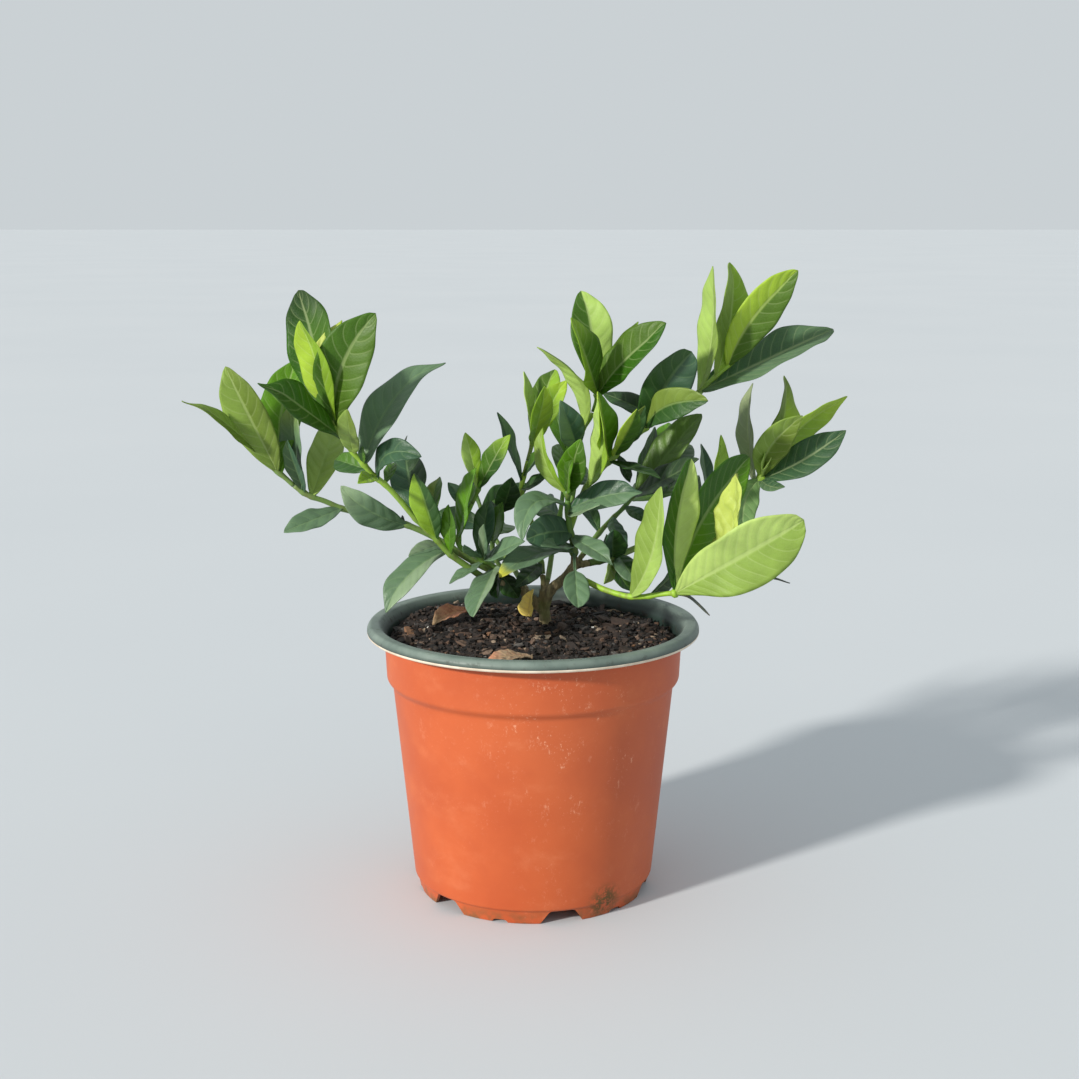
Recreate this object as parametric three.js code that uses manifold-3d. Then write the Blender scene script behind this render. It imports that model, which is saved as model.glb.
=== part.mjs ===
// A young potted gardenia that is not in flower, in a two-tone plastic nursery pot.
//
// Millimetres, +Z up. The origin is on the pot's axis, on the floor that the pot stands on.
// +X is to the right and +Y is away from someone who looks at the plant's front.
//
// Stems and leaves are laid out as they are seen from the front: a place is [x, z, depth].
// x and z are read on the upright plane through the pot's axis, and depth is the real Y.
// The function "seen" turns such a place into a real point, along the line from the eye.

import * as THREE from "three";
import { mergeVertices } from "three/addons/utils/BufferGeometryUtils.js";
import Module from "manifold-3d";

const wasm = await Module();
wasm.setup();

// ---------------------------------------------------------------- driving dimensions

const EYE = new THREE.Vector3(2.9, -750, 305.5);

const GAP = 0.3;

const POT = {
  sides: 40,
  wall: 1.5,
  rimRadius: 75,
  rimTop: 124,
  rimDepth: 4.8,
  rimInnerRadius: 68.8,
  rimBevel: 0.9,
  collarTopRadius: 67.3,
  collarBottomRadius: 66.3,
  collarBottom: 98.8,
  bodyTopRadius: 63.7,
  bodyTop: 96,
  bodyBottomRadius: 54.8,
  bodyBottom: 7,
  footTopRadius: 53.7,
  footTop: 6,
  footBottomRadius: 52.4,
  floorBottom: 6.5,
  innerStep: 0.3,
};

const FOOT_CUTS = {
  count: 12,
  firstAngle: 14,
  wide: { bottom: 22, top: 11, height: 6.2 },
  narrow: { bottom: 9, top: 6, height: 1.6 },
  reach: 16,
  below: 1,
};

const DRAIN = { count: 5, circle: 38, radius: 4, sides: 8, cutHeight: 6 };

const SOIL = {
  level: 116.2,
  rings: [0, 14, 29, 43, 56],
  sides: 24,
  roughness: 0.8,
  wallGap: 0.4,
  edgeDrop: 1.5,
  mounds: [
    { height: 3.4, x: -42, y: 30, spread: 20 },
    { height: 2, x: 6, y: 14, spread: 16 },
  ],
  trunkHole: { radius: 4.2, depth: 60, sides: 10 },
  seed: 11,
};

const CHIPS = {
  count: 40,
  length: [6, 14],
  width: [3, 7],
  height: [2.4, 3.6],
  pitch: 0.7,
  roll: 0.5,
  reach: 56,
  sunk: 0.5,
};

const BLADE = {
  thickness: 0.8,
  stations: [0, 0.15, 0.36, 0.6, 0.83, 1],
  fewStations: [0, 0.2, 0.5, 0.8, 1],
  fewBelow: 37,
  petioleHalfWidth: 0.8,
  tipHalfWidth: 0.5,
  widestAt: 0.55,
  roundness: 0.9,
  widthToLength: 0.37,
  leastTurned: 1.04,
  mostTurned: 2,
  footMargin: 1.5,
  fold: THREE.MathUtils.degToRad(16),
  arch: 0.07,
  wave: 0.07,
  ripples: 3,
  phaseStep: 2.4,
};

const LOOSE_LEAF = { wave: 0.1, phase: 1 };

const STEM = { sides: 5, step: 11 };

// ---------------------------------------------------------------- colours and finishes

function finish(color, roughness) {
  return new THREE.MeshStandardMaterial({ color, roughness, metalness: 0 });
}

const looks = {
  plastic: () => finish(0xd9703f, 0.55),
  soil: () => finish(0x3a2a22, 0.95),
  bark: () => finish(0x6b5a38, 0.85),
  mature: () => finish(0x3f6a35, 0.45),
  young: () => finish(0x9cc74a, 0.4),
  yellow: () => finish(0xdcb45a, 0.6),
  dead: () => finish(0x96603f, 0.85),
};

// ---------------------------------------------------------------- the plant's layout

// The trunk and its two low forks. radius is [at the start, at the end].
const trunkParts = [
  { path: [[5.5, 86, 15], [5.5, 118, 15], [5, 130, 14.3], [5, 138, 13.6]], radius: [3.4, 2.4] },
  { path: [[5, 128, 14.5], [-1, 134, 13.5], [-8, 141, 13]], radius: [2.6, 2.1] },
  { path: [[5, 130, 14.3], [8, 138, 12], [14, 143, 10], [18.5, 149, 8]], radius: [2.6, 2.2] },
];

// Each leafy stem starts on the piece that carries it. Its first "stub" millimetres are fused to that
// piece, the stretch from "newFrom" (a share of its length) is this year's growth, in its own node.
// A leaf is [name, seen foot [x, z], seen tip [x, z, depth], seen width, options].
const leafyStems = {
  west_low_branch: {
    on: "trunk",
    stub: 12,
    newFrom: 0.86,
    radius: [1.7, 1.0],
    path: [
      [-8, 141, 13], [-16, 145.5, 14], [-25, 150, 13], [-35, 156, 11], [-46, 163, 8], [-58, 168.3, 6],
      [-67, 171.3, 4], [-76, 172.7, 2], [-85, 175, 0], [-93, 178.5, -2], [-100, 181, -4],
      [-106, 185, -5], [-111, 189.5, -6], [-115, 192.7, -7], [-120, 197.7, -8],
    ],
    leaves: [
      ["w5", [-99, 180], [-109, 224, -18], 12],
      ["w6", [-99, 181], [-90, 213, 22], 17],
      ["w7", [-86, 175], [-111.8, 164.9, -20], 9],
      ["w8", [-41, 158], [-56, 153.7, -12], 6],
      ["w9", [-37, 155], [-66.8, 127.3, -10], 12, { sway: 0.1 }],
      ["w10", [-57, 168], [-86, 185, -8], 13, { sway: -0.06 }],
    ],
    newLeaves: [
      ["w1", [-114, 192], [-135.8, 238.6, -16], 19],
      ["w2", [-119, 197], [-154.5, 224.5, -32], 5, { sway: 0.03 }],
      ["w3", [-112, 191], [-104, 241.2, 14], 21, { sway: -0.08 }],
    ],
  },
  west_high_branch: {
    on: "trunk",
    stub: 10,
    newFrom: 0.92,
    radius: [1.6, 1.0],
    path: [
      [-8, 141, 13], [-14, 141, 8], [-22, 143.5, 4], [-30, 149, 1], [-38, 155, -3], [-45, 163, -6],
      [-53, 171, -11], [-60, 179.5, -15], [-66, 186, -18], [-71, 190, -20], [-76, 196, -23],
      [-80.5, 201, -25], [-84, 206, -27], [-88, 213, -30],
    ],
    leaves: [
      ["h6", [-79, 199], [-82, 219.5, -46], 9],
      ["h7", [-75, 195], [-38.4, 240, -8], 14, { sway: -0.09 }],
      ["h8", [-69, 189], [-46, 192, -40], 12, { sway: -0.28 }],
      ["h9", [-52, 171], [-57, 201, 10], 17],
      ["h10", [-43, 161], [-53, 191, -20], 12],
      ["h10b", [-47, 166], [-42, 190, 8], 8],
      ["h11", [-37, 154], [-37.8, 177, -14], 7],
      ["h12", [-66, 186], [-62, 196, -6], 5],
      ["h13", [-71, 190], [-78, 187, -40], 6],
      ["h14", [-74, 192], [-88, 197, -8], 11],
    ],
    newLeaves: [
      ["h5", [-85, 206], [-121, 231.6, -58], 14, { sway: 0.06 }],
      ["h1", [-88, 213], [-101.7, 272.3, -12], 20],
      ["h2", [-87, 211], [-102, 258.9, -44], 12.5],
      ["h3", [-88, 212], [-83.7, 257.8, -30], 5],
      ["h4", [-88, 212], [-69, 262, -46], 23, { sway: -0.05 }],
    ],
  },
  mid_left_shoot: {
    on: "trunk",
    stub: 9,
    newFrom: 0.86,
    radius: [1.4, 0.9],
    path: [
      [-8, 141, 13], [-16, 147, 8], [-24, 153, 3], [-33, 158, 0], [-32, 168, 0], [-27, 178, -2],
      [-24, 185, -5],
    ],
    leaves: [
      ["m3a", [-33, 162], [-26, 193.5, -20], 7],
      ["m3b", [-33, 160], [-24.5, 188, 12], 6],
      ["m4", [-29, 175], [-38, 187, -4], 7],
      ["m5a", [-26, 154], [-28, 175, 16], 8],
      ["m8", [-22, 152], [-4, 160.5, -20], 7],
      ["m9", [-24, 153], [-31, 158.5, -16], 4],
      ["m11", [-22, 151], [-38, 141.3, -22], 4],
      ["m12", [-17, 148], [-27, 125.2, -18], 10],
      ["m13", [-15, 146], [-12, 131, -8], 9],
      ["m14", [-22, 152], [-22, 168, -14], 4],
    ],
    newLeaves: [
      ["m1", [-25, 184], [-30, 209.5, -2], 8.5],
      ["m2", [-25, 184], [-10.5, 208.6, -12], 9],
    ],
  },
  small_left_shoot: {
    on: "trunk",
    stub: 8,
    radius: [1.2, 0.8],
    path: [[-5, 138, 13.2], [-12, 145, 18], [-18, 155, 21], [-17, 166, 21], [-13, 176, 20]],
    leaves: [
      ["m5b", [-18, 158], [-19, 179, 36], 9],
      ["m6", [-18, 160], [-14, 178, 8], 8],
      ["m7", [-14, 174], [-9.5, 189.3, 8], 12],
      ["m7b", [-13, 175], [-3, 187, 32], 7],
    ],
  },
  centre_left_shoot: {
    on: "trunk",
    stub: 8,
    newFrom: 0.84,
    radius: [1.4, 0.9],
    path: [
      [5, 137, 13.7], [4, 148, 17], [2, 160, 19], [-1, 170, 20], [-5, 183, 20], [-4, 190, 19],
      [-1.5, 200, 18], [0.5, 208, 18],
    ],
    leaves: [
      ["c5", [-5, 187], [-15.4, 218.5, 12], 5],
      ["c6", [-4, 190], [5, 202, 0], 4],
      ["c6b", [-5, 184], [8, 191, 4], 5],
      ["m17", [4, 150], [-8, 139, -2], 8],
    ],
    newLeaves: [
      ["c1", [0, 206], [-3.7, 236.6, 26], 4],
      ["c2a", [0, 207], [9.5, 238, 38], 9],
      ["c2b", [0, 204], [5, 230, -4], 8],
      ["c2c", [0, 206], [14.5, 233, 22], 9],
    ],
  },
  centre_branch: {
    on: "trunk",
    stub: 5,
    newFrom: 0.86,
    radius: [1.6, 1.1],
    path: [[18.5, 149, 8], [18.2, 158, 6], [16.5, 166, 4], [15.6, 174, 2], [15.5, 184, -1]],
    leaves: [
      ["m16", [18.4, 152], [-15.4, 144, -16], 9, { sway: 0.06 }],
      ["n1", [15.6, 176], [-6, 160, -22], 9, { sway: 0.26 }],
      ["n2", [16.4, 167], [-3, 158, -10], 14, { sway: 0.05 }],
      ["r8", [16, 174], [49, 182.5, -14], 12, { wave: 0.12, sway: -0.06 }],
      ["r9", [16, 172], [30, 177, -20], 4],
      ["r12", [17, 164], [35, 150, -16], 9],
      ["r15", [18.4, 153], [21, 129.5, -22], 13],
    ],
    newLeaves: [
      ["y1", [15.5, 182], [4, 211.5, 0], 6, { sway: -0.12 }],
      ["y2", [15.5, 183], [21, 206, -24], 10],
      ["y3", [15.5, 183], [22, 203, -6], 5],
      ["y4", [15.5, 182], [17, 197, -22], 5],
    ],
  },
  centre_top_branch: {
    on: "centre_branch",
    stub: 5,
    newFrom: 0.84,
    radius: [1.3, 0.9],
    path: [[16, 172, 2.5], [18, 183, 7], [19.5, 195, 9], [21.5, 209, 12], [26, 217, 13], [29, 227, 14]],
    leaves: [
      ["c3", [21.5, 211], [1.6, 246.5, -6], 6.5, { sway: 0.2 }],
      ["c4", [20, 202], [12.5, 223.5, -8], 12],
    ],
    newLeaves: [
      ["t1", [29, 226], [21.5, 272.7, 12], 19, { sway: 0.03 }],
      ["t2", [29, 226], [18, 260, -18], 10],
      ["t3", [29, 226], [25, 251, 34], 6],
      ["t4", [29, 226], [57.6, 258.4, -8], 15, { sway: -0.05 }],
      ["t5", [29, 226], [46, 258.5, 24], 6],
    ],
  },
  top_right_branch: {
    on: "centre_branch",
    stub: 6,
    newFrom: 0.8,
    radius: [1.6, 1.0],
    path: [
      [16.5, 166, 4], [20, 176, 9], [25, 186.5, 11], [35, 198, 12], [47.5, 209.5, 15], [62, 221, 20],
      [73, 227, 25], [78, 232, 26], [87, 240, 28],
    ],
    leaves: [
      ["y5", [24, 185], [28, 224, -8], 7, { sway: 0.12 }],
      ["y6", [33, 197], [29.5, 227.5, -6], 8],
      ["y7", [36, 199], [46, 220, -10], 8],
      ["d5", [36, 199], [50, 221, 2], 9],
      ["d6", [56, 216], [31, 227, 34], 9],
      ["d7", [42, 205], [51, 224, 18], 6],
      ["r1", [50, 212], [70, 245, 2], 22, { sway: -0.05 }],
      ["r2", [50, 212], [77.5, 223.5, -12], 16],
      ["r6", [34, 197], [57, 189.5, -8], 4],
      ["r7", [37, 200], [43.5, 187, 16], 5],
    ],
    newLeaves: [
      ["d1", [72, 227], [77.6, 282.2, 10], 8.5, { sway: 0.065 }],
      ["d2", [81, 234], [86.8, 284.4, 38], 11, { sway: 0.07 }],
      ["d3", [86, 239], [115.6, 280.6, 14], 19, { sway: -0.08 }],
      ["d4", [74, 228], [131.8, 255, 42], 14, { sway: 0.02 }],
    ],
  },
  right_branch: {
    on: "trunk",
    stub: 8,
    radius: [1.4, 0.9],
    path: [[18.5, 149, 8], [23, 155, 15], [28, 162, 20], [34, 169, 24], [41, 176, 27], [46.5, 183, 30]],
    leaves: [
      ["r3", [46.5, 183], [74.5, 218, 30], 15],
      ["r3b", [46, 182], [56, 212, 50], 8],
      ["r4", [45, 181], [74, 197.5, 4], 10],
      ["r10a", [38, 173], [44, 158, 10], 6],
      ["r10b", [41, 176], [53, 169, 14], 6],
      ["r10c", [30, 164], [22, 180, 38], 8],
    ],
  },
  far_right_branch: {
    on: "trunk",
    stub: 8,
    newFrom: 0.88,
    radius: [1.7, 1.0],
    path: [
      [18.5, 149, 8], [26, 150.5, 13], [36, 153, 19], [48, 158, 26], [62, 165, 32], [80, 175, 38],
      [95, 183, 42],
      [103, 190, 45],
    ],
    leaves: [
      ["r5", [79, 174], [75, 204.5, 52], 5],
      ["r11", [36, 153], [36, 166, -4], 11],
      ["r13", [33, 152], [31, 141.5, 2], 5],
      ["r14", [38, 154], [47, 140, 4], 10],
      ["s8", [80, 175], [84.5, 208, 26], 6],
      ["q7", [66, 167], [74, 190, 58], 9],
    ],
    newLeaves: [
      ["q1", [99, 187], [96.5, 231.5, 58], 7, { sway: -0.05 }],
      ["q2", [103, 190], [112, 235, 66], 11, { wave: 0.14, sway: 0.07 }],
      ["q3", [102, 189], [119.5, 217, 22], 16, { sway: -0.12 }],
      ["q4", [103, 190], [139.7, 224.5, 50], 8, { sway: -0.09 }],
      ["q5", [101, 188], [138.9, 210.5, 34], 15, { sway: 0.05 }],
      ["q6", [102, 188], [112.5, 185, 28], 6, { sway: 0.1 }],
      ["s5", [101, 188], [94.5, 164, 20], 10, { sway: 0.1 }],
    ],
  },
  low_right_branch: {
    on: "trunk",
    stub: 9,
    radius: [1.5, 1.1],
    path: [
      [14, 143, 10], [19.5, 143.5, 2], [24, 142, -4], [31, 138.5, -10], [40, 135.5, -16], [45, 134.7, -19],
      [51, 134.8, -22], [58, 135.9, -24], [65, 136.5, -27],
    ],
    leaves: [
      ["s1", [44.5, 135], [56.5, 185, -36], 13.5, { sway: 0.08 }],
      ["s2", [64, 136], [73, 196, -36], 12, { sway: -0.06 }],
      ["s3", [65, 136.5], [96, 198.5, 6], 21, { sway: -0.08 }],
      ["s4", [64, 136.5], [89, 190.5, -26], 12, { wave: 0.14, sway: 0.12 }],
      ["s6", [64.7, 136.5], [121.6, 169.8, -50], 29, { sway: 0.03 }],
      ["r16", [53, 135], [66, 149, 2], 7],
    ],
  },
  back_left_shoot: {
    on: "trunk",
    stub: 9,
    radius: [1.4, 0.9],
    path: [[-1, 134, 13.5], [-6, 143, 24], [-13, 155, 36], [-20, 167, 45], [-25, 180, 52]],
    leaves: [
      ["e1", [-25, 179], [-33, 186, 70], 12],
      ["e2", [-23, 175], [-9, 184, 68], 11],
      ["e3", [-20, 167], [-44, 172, 64], 12],
      ["e4", [-18, 163], [-12, 168, 72], 11],
      ["e5", [-12, 153], [-28, 153, 60], 11],
      ["e6", [-11, 151], [-2, 150, 62], 12],
    ],
  },
  back_centre_shoot: {
    on: "trunk",
    stub: 8,
    radius: [1.4, 0.9],
    path: [[5, 137, 13.7], [7, 145, 25], [9, 158, 35], [12, 172, 42], [14, 188, 46], [15, 200, 48]],
    leaves: [
      ["g1", [15, 199], [9, 221, 60], 9],
      ["g2", [15, 199], [17, 215, 68], 8],
      ["g3", [14, 188], [11, 204, 70], 10],
      ["g4", [14, 187], [26, 191, 68], 11],
      ["g5", [12, 172], [2, 178, 72], 13],
      ["g6", [12, 170], [5, 163, 68], 12],
    ],
  },
  back_right_shoot: {
    on: "far_right_branch",
    stub: 5,
    radius: [1.3, 0.9],
    path: [[48, 158, 26], [53, 167, 38], [56, 180, 46], [57, 193, 50]],
    leaves: [
      ["k1", [57, 192], [60, 214, 68], 12],
      ["k2", [57, 192], [71, 204, 70], 11],
      ["k3", [56, 180], [66, 189, 70], 12],
      ["k4", [56, 179], [43, 184, 70], 10],
      ["k5", [53, 167], [58, 158, 62], 11],
    ],
  },
};

// Loose leaves on the soil, in real places. "up" is the side that the upper face looks to.
const looseLeaves = {
  fallen_leaf_left: {
    foot: [-29, 18, 123.6], tip: [-46.5, 9, 119.6], up: [0.1, -0.35, 1], width: 11, fold: 34, arch: 0.1,
    look: "dead",
  },
  fallen_leaf_front: {
    foot: [0, -49, 119.4], tip: [-20, -51, 118.9], up: [0, -0.2, 1], width: 9, fold: 12, arch: 0.06,
    look: "dead",
  },
  yellow_leaf: {
    foot: [-3.1, 7.6, 123.9], tip: [0.2, 9.8, 136.3], up: [-0.3, -1, 0.1], width: 7.5, fold: 20, arch: 0.05,
    look: "yellow",
  },
};

// Round each loose leaf the soil has no bark flakes: [x, y, radius].
const clearings = [[-38, 18, 18], [-10, -50, 17], [-1.5, 3.5, 7], [5, 15, 10]];

// ---------------------------------------------------------------- places and curves

// The real point of a place [x, z, depth] that is given as seen from the front.
function seen([x, z, depth]) {
  const reach = 1 - depth / EYE.y;
  return new THREE.Vector3(EYE.x + (x - EYE.x) * reach, depth, EYE.z + (z - EYE.z) * reach);
}

// Where a real point is seen from the front, as [x, z] on the upright plane through the axis.
function frontOf(point) {
  const reach = 1 - point.y / EYE.y;
  return [EYE.x + (point.x - EYE.x) / reach, EYE.z + (point.z - EYE.z) / reach];
}

function curveThrough(path) {
  return new THREE.CatmullRomCurve3(path.map(seen), false, "catmullrom", 0.5);
}

// The share of the curve's length, between two limits, that is seen nearest to [x, z].
function nearestShare(curve, [x, z], lowest, highest) {
  const steps = 80;
  let best = { share: lowest, distance: Infinity };
  for (let i = 0; i <= steps; i += 1) {
    const share = THREE.MathUtils.lerp(lowest, highest, i / steps);
    const [seenX, seenZ] = frontOf(curve.getPointAt(share));
    const distance = Math.hypot(seenX - x, seenZ - z);
    if (distance < best.distance) best = { share, distance };
  }
  return best.share;
}

function seededRandom(seed) {
  let state = seed;
  return () => {
    state = (state * 1664525 + 1013904223) % 4294967296;
    return state / 4294967296;
  };
}

// ---------------------------------------------------------------- solids

function solid(corners, faces) {
  const vertProperties = Float32Array.from(corners.flatMap((corner) => corner.toArray()));
  const triVerts = Uint32Array.from(faces.flat());
  return new wasm.Manifold(new wasm.Mesh({ numProp: 3, vertProperties, triVerts }));
}

function solidOf(geometry) {
  geometry.deleteAttribute("normal");
  geometry.deleteAttribute("uv");
  const merged = mergeVertices(geometry, 1e-4);
  const vertProperties = Float32Array.from(merged.attributes.position.array);
  const triVerts = Uint32Array.from(merged.index.array);
  return new wasm.Manifold(new wasm.Mesh({ numProp: 3, vertProperties, triVerts }));
}

function fuse(solids) {
  return solids.reduce((whole, next) => whole.add(next));
}

function largestPiece(body) {
  const pieces = body.decompose();
  return pieces.reduce((largest, piece) => (piece.volume() > largest.volume() ? piece : largest));
}

// Joins equal rings of corners into one closed solid. A side listed in "crossed" is split along
// its other diagonal.
function loft(rings, crossed = []) {
  const sides = rings[0].length;
  const last = (rings.length - 1) * sides;
  const faces = [];
  for (let i = 0; i < rings.length - 1; i += 1) {
    for (let j = 0; j < sides; j += 1) {
      const a = i * sides + j;
      const b = i * sides + ((j + 1) % sides);
      const c = b + sides;
      const d = a + sides;
      if (crossed.includes(j)) faces.push([a, b, d], [b, c, d]);
      else faces.push([a, b, c], [a, c, d]);
    }
  }
  for (let k = 2; k < sides; k += 1) {
    const near = (1 + k) % sides;
    faces.push([1, near, k], [last + 1, last + k, last + near]);
  }
  return solid(rings.flat(), faces);
}

// ---------------------------------------------------------------- stems

function stemSolid(curve, [startRadius, endRadius], from = 0, to = 1) {
  const steps = Math.max(1, Math.round((curve.getLength() * (to - from)) / STEM.step));
  const normal = new THREE.Vector3(0, -1, 0);
  const rings = [];
  for (let i = 0; i <= steps; i += 1) {
    const share = THREE.MathUtils.lerp(from, to, i / steps);
    const centre = curve.getPointAt(share);
    const along = curve.getTangentAt(share);
    normal.projectOnPlane(along).normalize();
    const across = new THREE.Vector3().crossVectors(along, normal);
    const radius = THREE.MathUtils.lerp(startRadius, endRadius, share);
    const ring = [];
    for (let j = 0; j < STEM.sides; j += 1) {
      const angle = (j / STEM.sides) * 2 * Math.PI;
      ring.push(
        centre
          .clone()
          .addScaledVector(normal, radius * Math.cos(angle))
          .addScaledVector(across, radius * Math.sin(angle)),
      );
    }
    rings.push(ring);
  }
  return loft(rings);
}

// ---------------------------------------------------------------- leaves

function halfWidth(share, width) {
  const power = Math.log(0.5) / Math.log(BLADE.widestAt);
  const outline = Math.sin(Math.PI * share ** power) ** BLADE.roundness;
  const least = THREE.MathUtils.lerp(BLADE.petioleHalfWidth, BLADE.tipHalfWidth, share);
  return Math.max((width / 2) * outline, least);
}

// One leaf blade: a folded, bent and waved plate from foot to tip. "up" is its upper face's side
// and "bend" is how far its midrib's middle lies from the chord. Its two faces are split into
// triangles alike.
function bladeSolid({ foot, tip, up, width, bend, fold, wave, phase }) {
  const chord = tip.clone().sub(foot);
  const length = chord.length();
  const upper = up.clone().projectOnPlane(chord.clone().normalize()).normalize();
  const side = new THREE.Vector3().crossVectors(chord, upper).normalize();
  const stations = length < BLADE.fewBelow ? BLADE.fewStations : BLADE.stations;
  const rings = stations.map((share) => {
    const centre = foot.clone().addScaledVector(chord, share).addScaledVector(bend, 4 * share * (1 - share));
    const along = chord.clone().addScaledVector(bend, 4 - 8 * share).normalize();
    const across = side.clone().projectOnPlane(along).normalize();
    const outward = new THREE.Vector3().crossVectors(across, along);
    const half = halfWidth(share, width);
    const corner = (hand, face) => {
      const ripple = wave * half * Math.sin(BLADE.ripples * Math.PI * share + phase + hand);
      const lift = Math.abs(hand) * (half * Math.sin(fold) + ripple);
      return centre
        .clone()
        .addScaledVector(across, hand * half * Math.cos(fold))
        .addScaledVector(outward, lift + (face * BLADE.thickness) / 2);
    };
    return [corner(-1, 1), corner(0, 1), corner(1, 1), corner(1, -1), corner(0, -1), corner(-1, -1)];
  });
  return loft(rings, [3, 4]);
}

// A leaf on a stem. Its true width follows its length, and it is turned about its midrib until it
// is seen as wide as it should be, with its upper face towards the stem's tip. "sway" is how far
// its middle is seen to the right of the straight line from foot to tip, as a share of its length.
function leafSolid(curve, lowest, highest, [, footSeen, tipSeen, seenWidth, options = {}], index) {
  const share = nearestShare(curve, footSeen, lowest, highest);
  const foot = curve.getPointAt(share);
  const tip = seen(tipSeen);
  const chord = tip.clone().sub(foot);
  const natural = BLADE.widthToLength * chord.length();
  const width = Math.max(seenWidth * BLADE.leastTurned, Math.min(natural, seenWidth * BLADE.mostTurned));
  const tilt = Math.acos(seenWidth / width);
  const along = chord.clone().normalize();
  const toEye = EYE.clone().sub(foot).projectOnPlane(along).normalize();
  const turned = [tilt, -tilt].map((angle) => toEye.clone().applyAxisAngle(along, angle));
  const toSide = new THREE.Vector3().crossVectors(along, toEye);
  const bend = new THREE.Vector3()
    .addScaledVector(toEye, (options.arch ?? BLADE.arch) * chord.length() * Math.cos(tilt))
    .addScaledVector(toSide, (options.sway ?? 0) * chord.length());
  const growing = curve.getTangentAt(share);
  turned.sort((a, b) => b.dot(growing) - a.dot(growing));
  return bladeSolid({
    foot,
    tip,
    up: turned[0],
    width,
    bend,
    fold: BLADE.fold,
    wave: options.wave ?? BLADE.wave,
    phase: index * BLADE.phaseStep,
  });
}

function growth(stem, leaves, from, to) {
  const margin = BLADE.footMargin / stem.curve.getLength();
  return fuse([
    stemSolid(stem.curve, stem.radius, from, to),
    ...leaves.map((leaf, index) => leafSolid(stem.curve, from + margin, to - margin / 2, leaf, index)),
  ]);
}

// ---------------------------------------------------------------- the plant

function plantSolids() {
  const solids = {
    trunk: fuse(trunkParts.map(({ path, radius }) => stemSolid(curveThrough(path), radius))),
  };
  for (const [name, plan] of Object.entries(leafyStems)) {
    const stem = { ...plan, curve: curveThrough(plan.path) };
    const length = stem.curve.getLength();
    const stubEnd = stem.stub / length;
    const split = stem.newFrom ?? 1;
    solids[stem.on] = solids[stem.on].add(stemSolid(stem.curve, stem.radius, 0, stubEnd));
    solids[name] = growth(stem, stem.leaves, stubEnd + GAP / length, split);
    if (stem.newLeaves) {
      solids[`${name}_new_growth`] = growth(stem, stem.newLeaves, split + GAP / length, 1);
    }
  }
  return solids;
}

function looseLeafSolid({ foot, tip, width, up, fold, arch }) {
  const upper = new THREE.Vector3(...up);
  return bladeSolid({
    foot: new THREE.Vector3(...foot),
    tip: new THREE.Vector3(...tip),
    up: upper,
    width,
    bend: upper.clone().setLength(arch * width * 2),
    fold: THREE.MathUtils.degToRad(fold),
    wave: LOOSE_LEAF.wave,
    phase: LOOSE_LEAF.phase,
  });
}

// ---------------------------------------------------------------- the pot

function potProfile() {
  const { wall, rimBevel: bevel } = POT;
  const rimBottom = POT.rimTop - POT.rimDepth;
  return [
    [0, POT.floorBottom],
    [POT.footTopRadius - wall, POT.floorBottom],
    [POT.footBottomRadius - wall, 0],
    [POT.footBottomRadius, 0],
    [POT.footTopRadius, POT.footTop],
    [POT.bodyBottomRadius, POT.bodyBottom],
    [POT.bodyTopRadius, POT.bodyTop],
    [POT.collarBottomRadius, POT.collarBottom],
    [POT.collarTopRadius, rimBottom],
    [POT.rimRadius - bevel / 2, rimBottom],
    [POT.rimRadius, rimBottom + bevel],
    [POT.rimRadius - bevel, POT.rimTop],
    [POT.rimInnerRadius + bevel, POT.rimTop],
    [POT.collarTopRadius - wall, rimBottom - bevel],
    [POT.collarBottomRadius - wall, POT.collarBottom + POT.innerStep],
    [POT.bodyTopRadius - wall, POT.bodyTop + POT.innerStep],
    [POT.bodyBottomRadius - wall, POT.floorBottom + wall],
    [0, POT.floorBottom + wall],
  ].map(([radius, height]) => new THREE.Vector2(radius, height));
}

function lathe(profile, sides) {
  return new THREE.LatheGeometry(profile, sides).rotateX(Math.PI / 2);
}

// A tapered block that cuts one notch through the foot ring, at an angle from the front.
function footCut({ bottom, top, height }, angle) {
  const { reach, below } = FOOT_CUTS;
  const outline = new THREE.Shape([
    new THREE.Vector2(-bottom / 2, -below),
    new THREE.Vector2(bottom / 2, -below),
    new THREE.Vector2(top / 2, height),
    new THREE.Vector2(-top / 2, height),
  ]);
  const block = new THREE.ExtrudeGeometry(outline, { depth: reach, bevelEnabled: false });
  block.rotateX(Math.PI / 2);
  block.translate(0, -POT.footBottomRadius + reach / 2, 0);
  block.rotateZ(angle);
  return solidOf(block);
}

function drainCut(angle) {
  const hole = new THREE.CylinderGeometry(DRAIN.radius, DRAIN.radius, DRAIN.cutHeight, DRAIN.sides);
  hole.rotateX(Math.PI / 2);
  hole.translate(0, -DRAIN.circle, POT.floorBottom);
  hole.rotateZ(angle);
  return solidOf(hole);
}

function potSolid() {
  let pot = solidOf(lathe(potProfile(), POT.sides));
  const spacing = (2 * Math.PI) / FOOT_CUTS.count;
  for (let i = 0; i < FOOT_CUTS.count; i += 1) {
    const angle = THREE.MathUtils.degToRad(FOOT_CUTS.firstAngle) + i * spacing;
    pot = pot.subtract(footCut(i % 2 === 0 ? FOOT_CUTS.wide : FOOT_CUTS.narrow, angle));
  }
  for (let i = 0; i < DRAIN.count; i += 1) {
    pot = pot.subtract(drainCut((i * 2 * Math.PI) / DRAIN.count));
  }
  return pot;
}

// ---------------------------------------------------------------- the soil

// The soil's mean surface: a low mound behind on the left and another round the trunk.
function soilLevel(x, y) {
  const mounds = SOIL.mounds.map(
    (mound) => mound.height * Math.exp(-((x - mound.x) ** 2 + (y - mound.y) ** 2) / (2 * mound.spread ** 2)),
  );
  return mounds.reduce((level, mound) => level + mound, SOIL.level);
}

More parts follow.
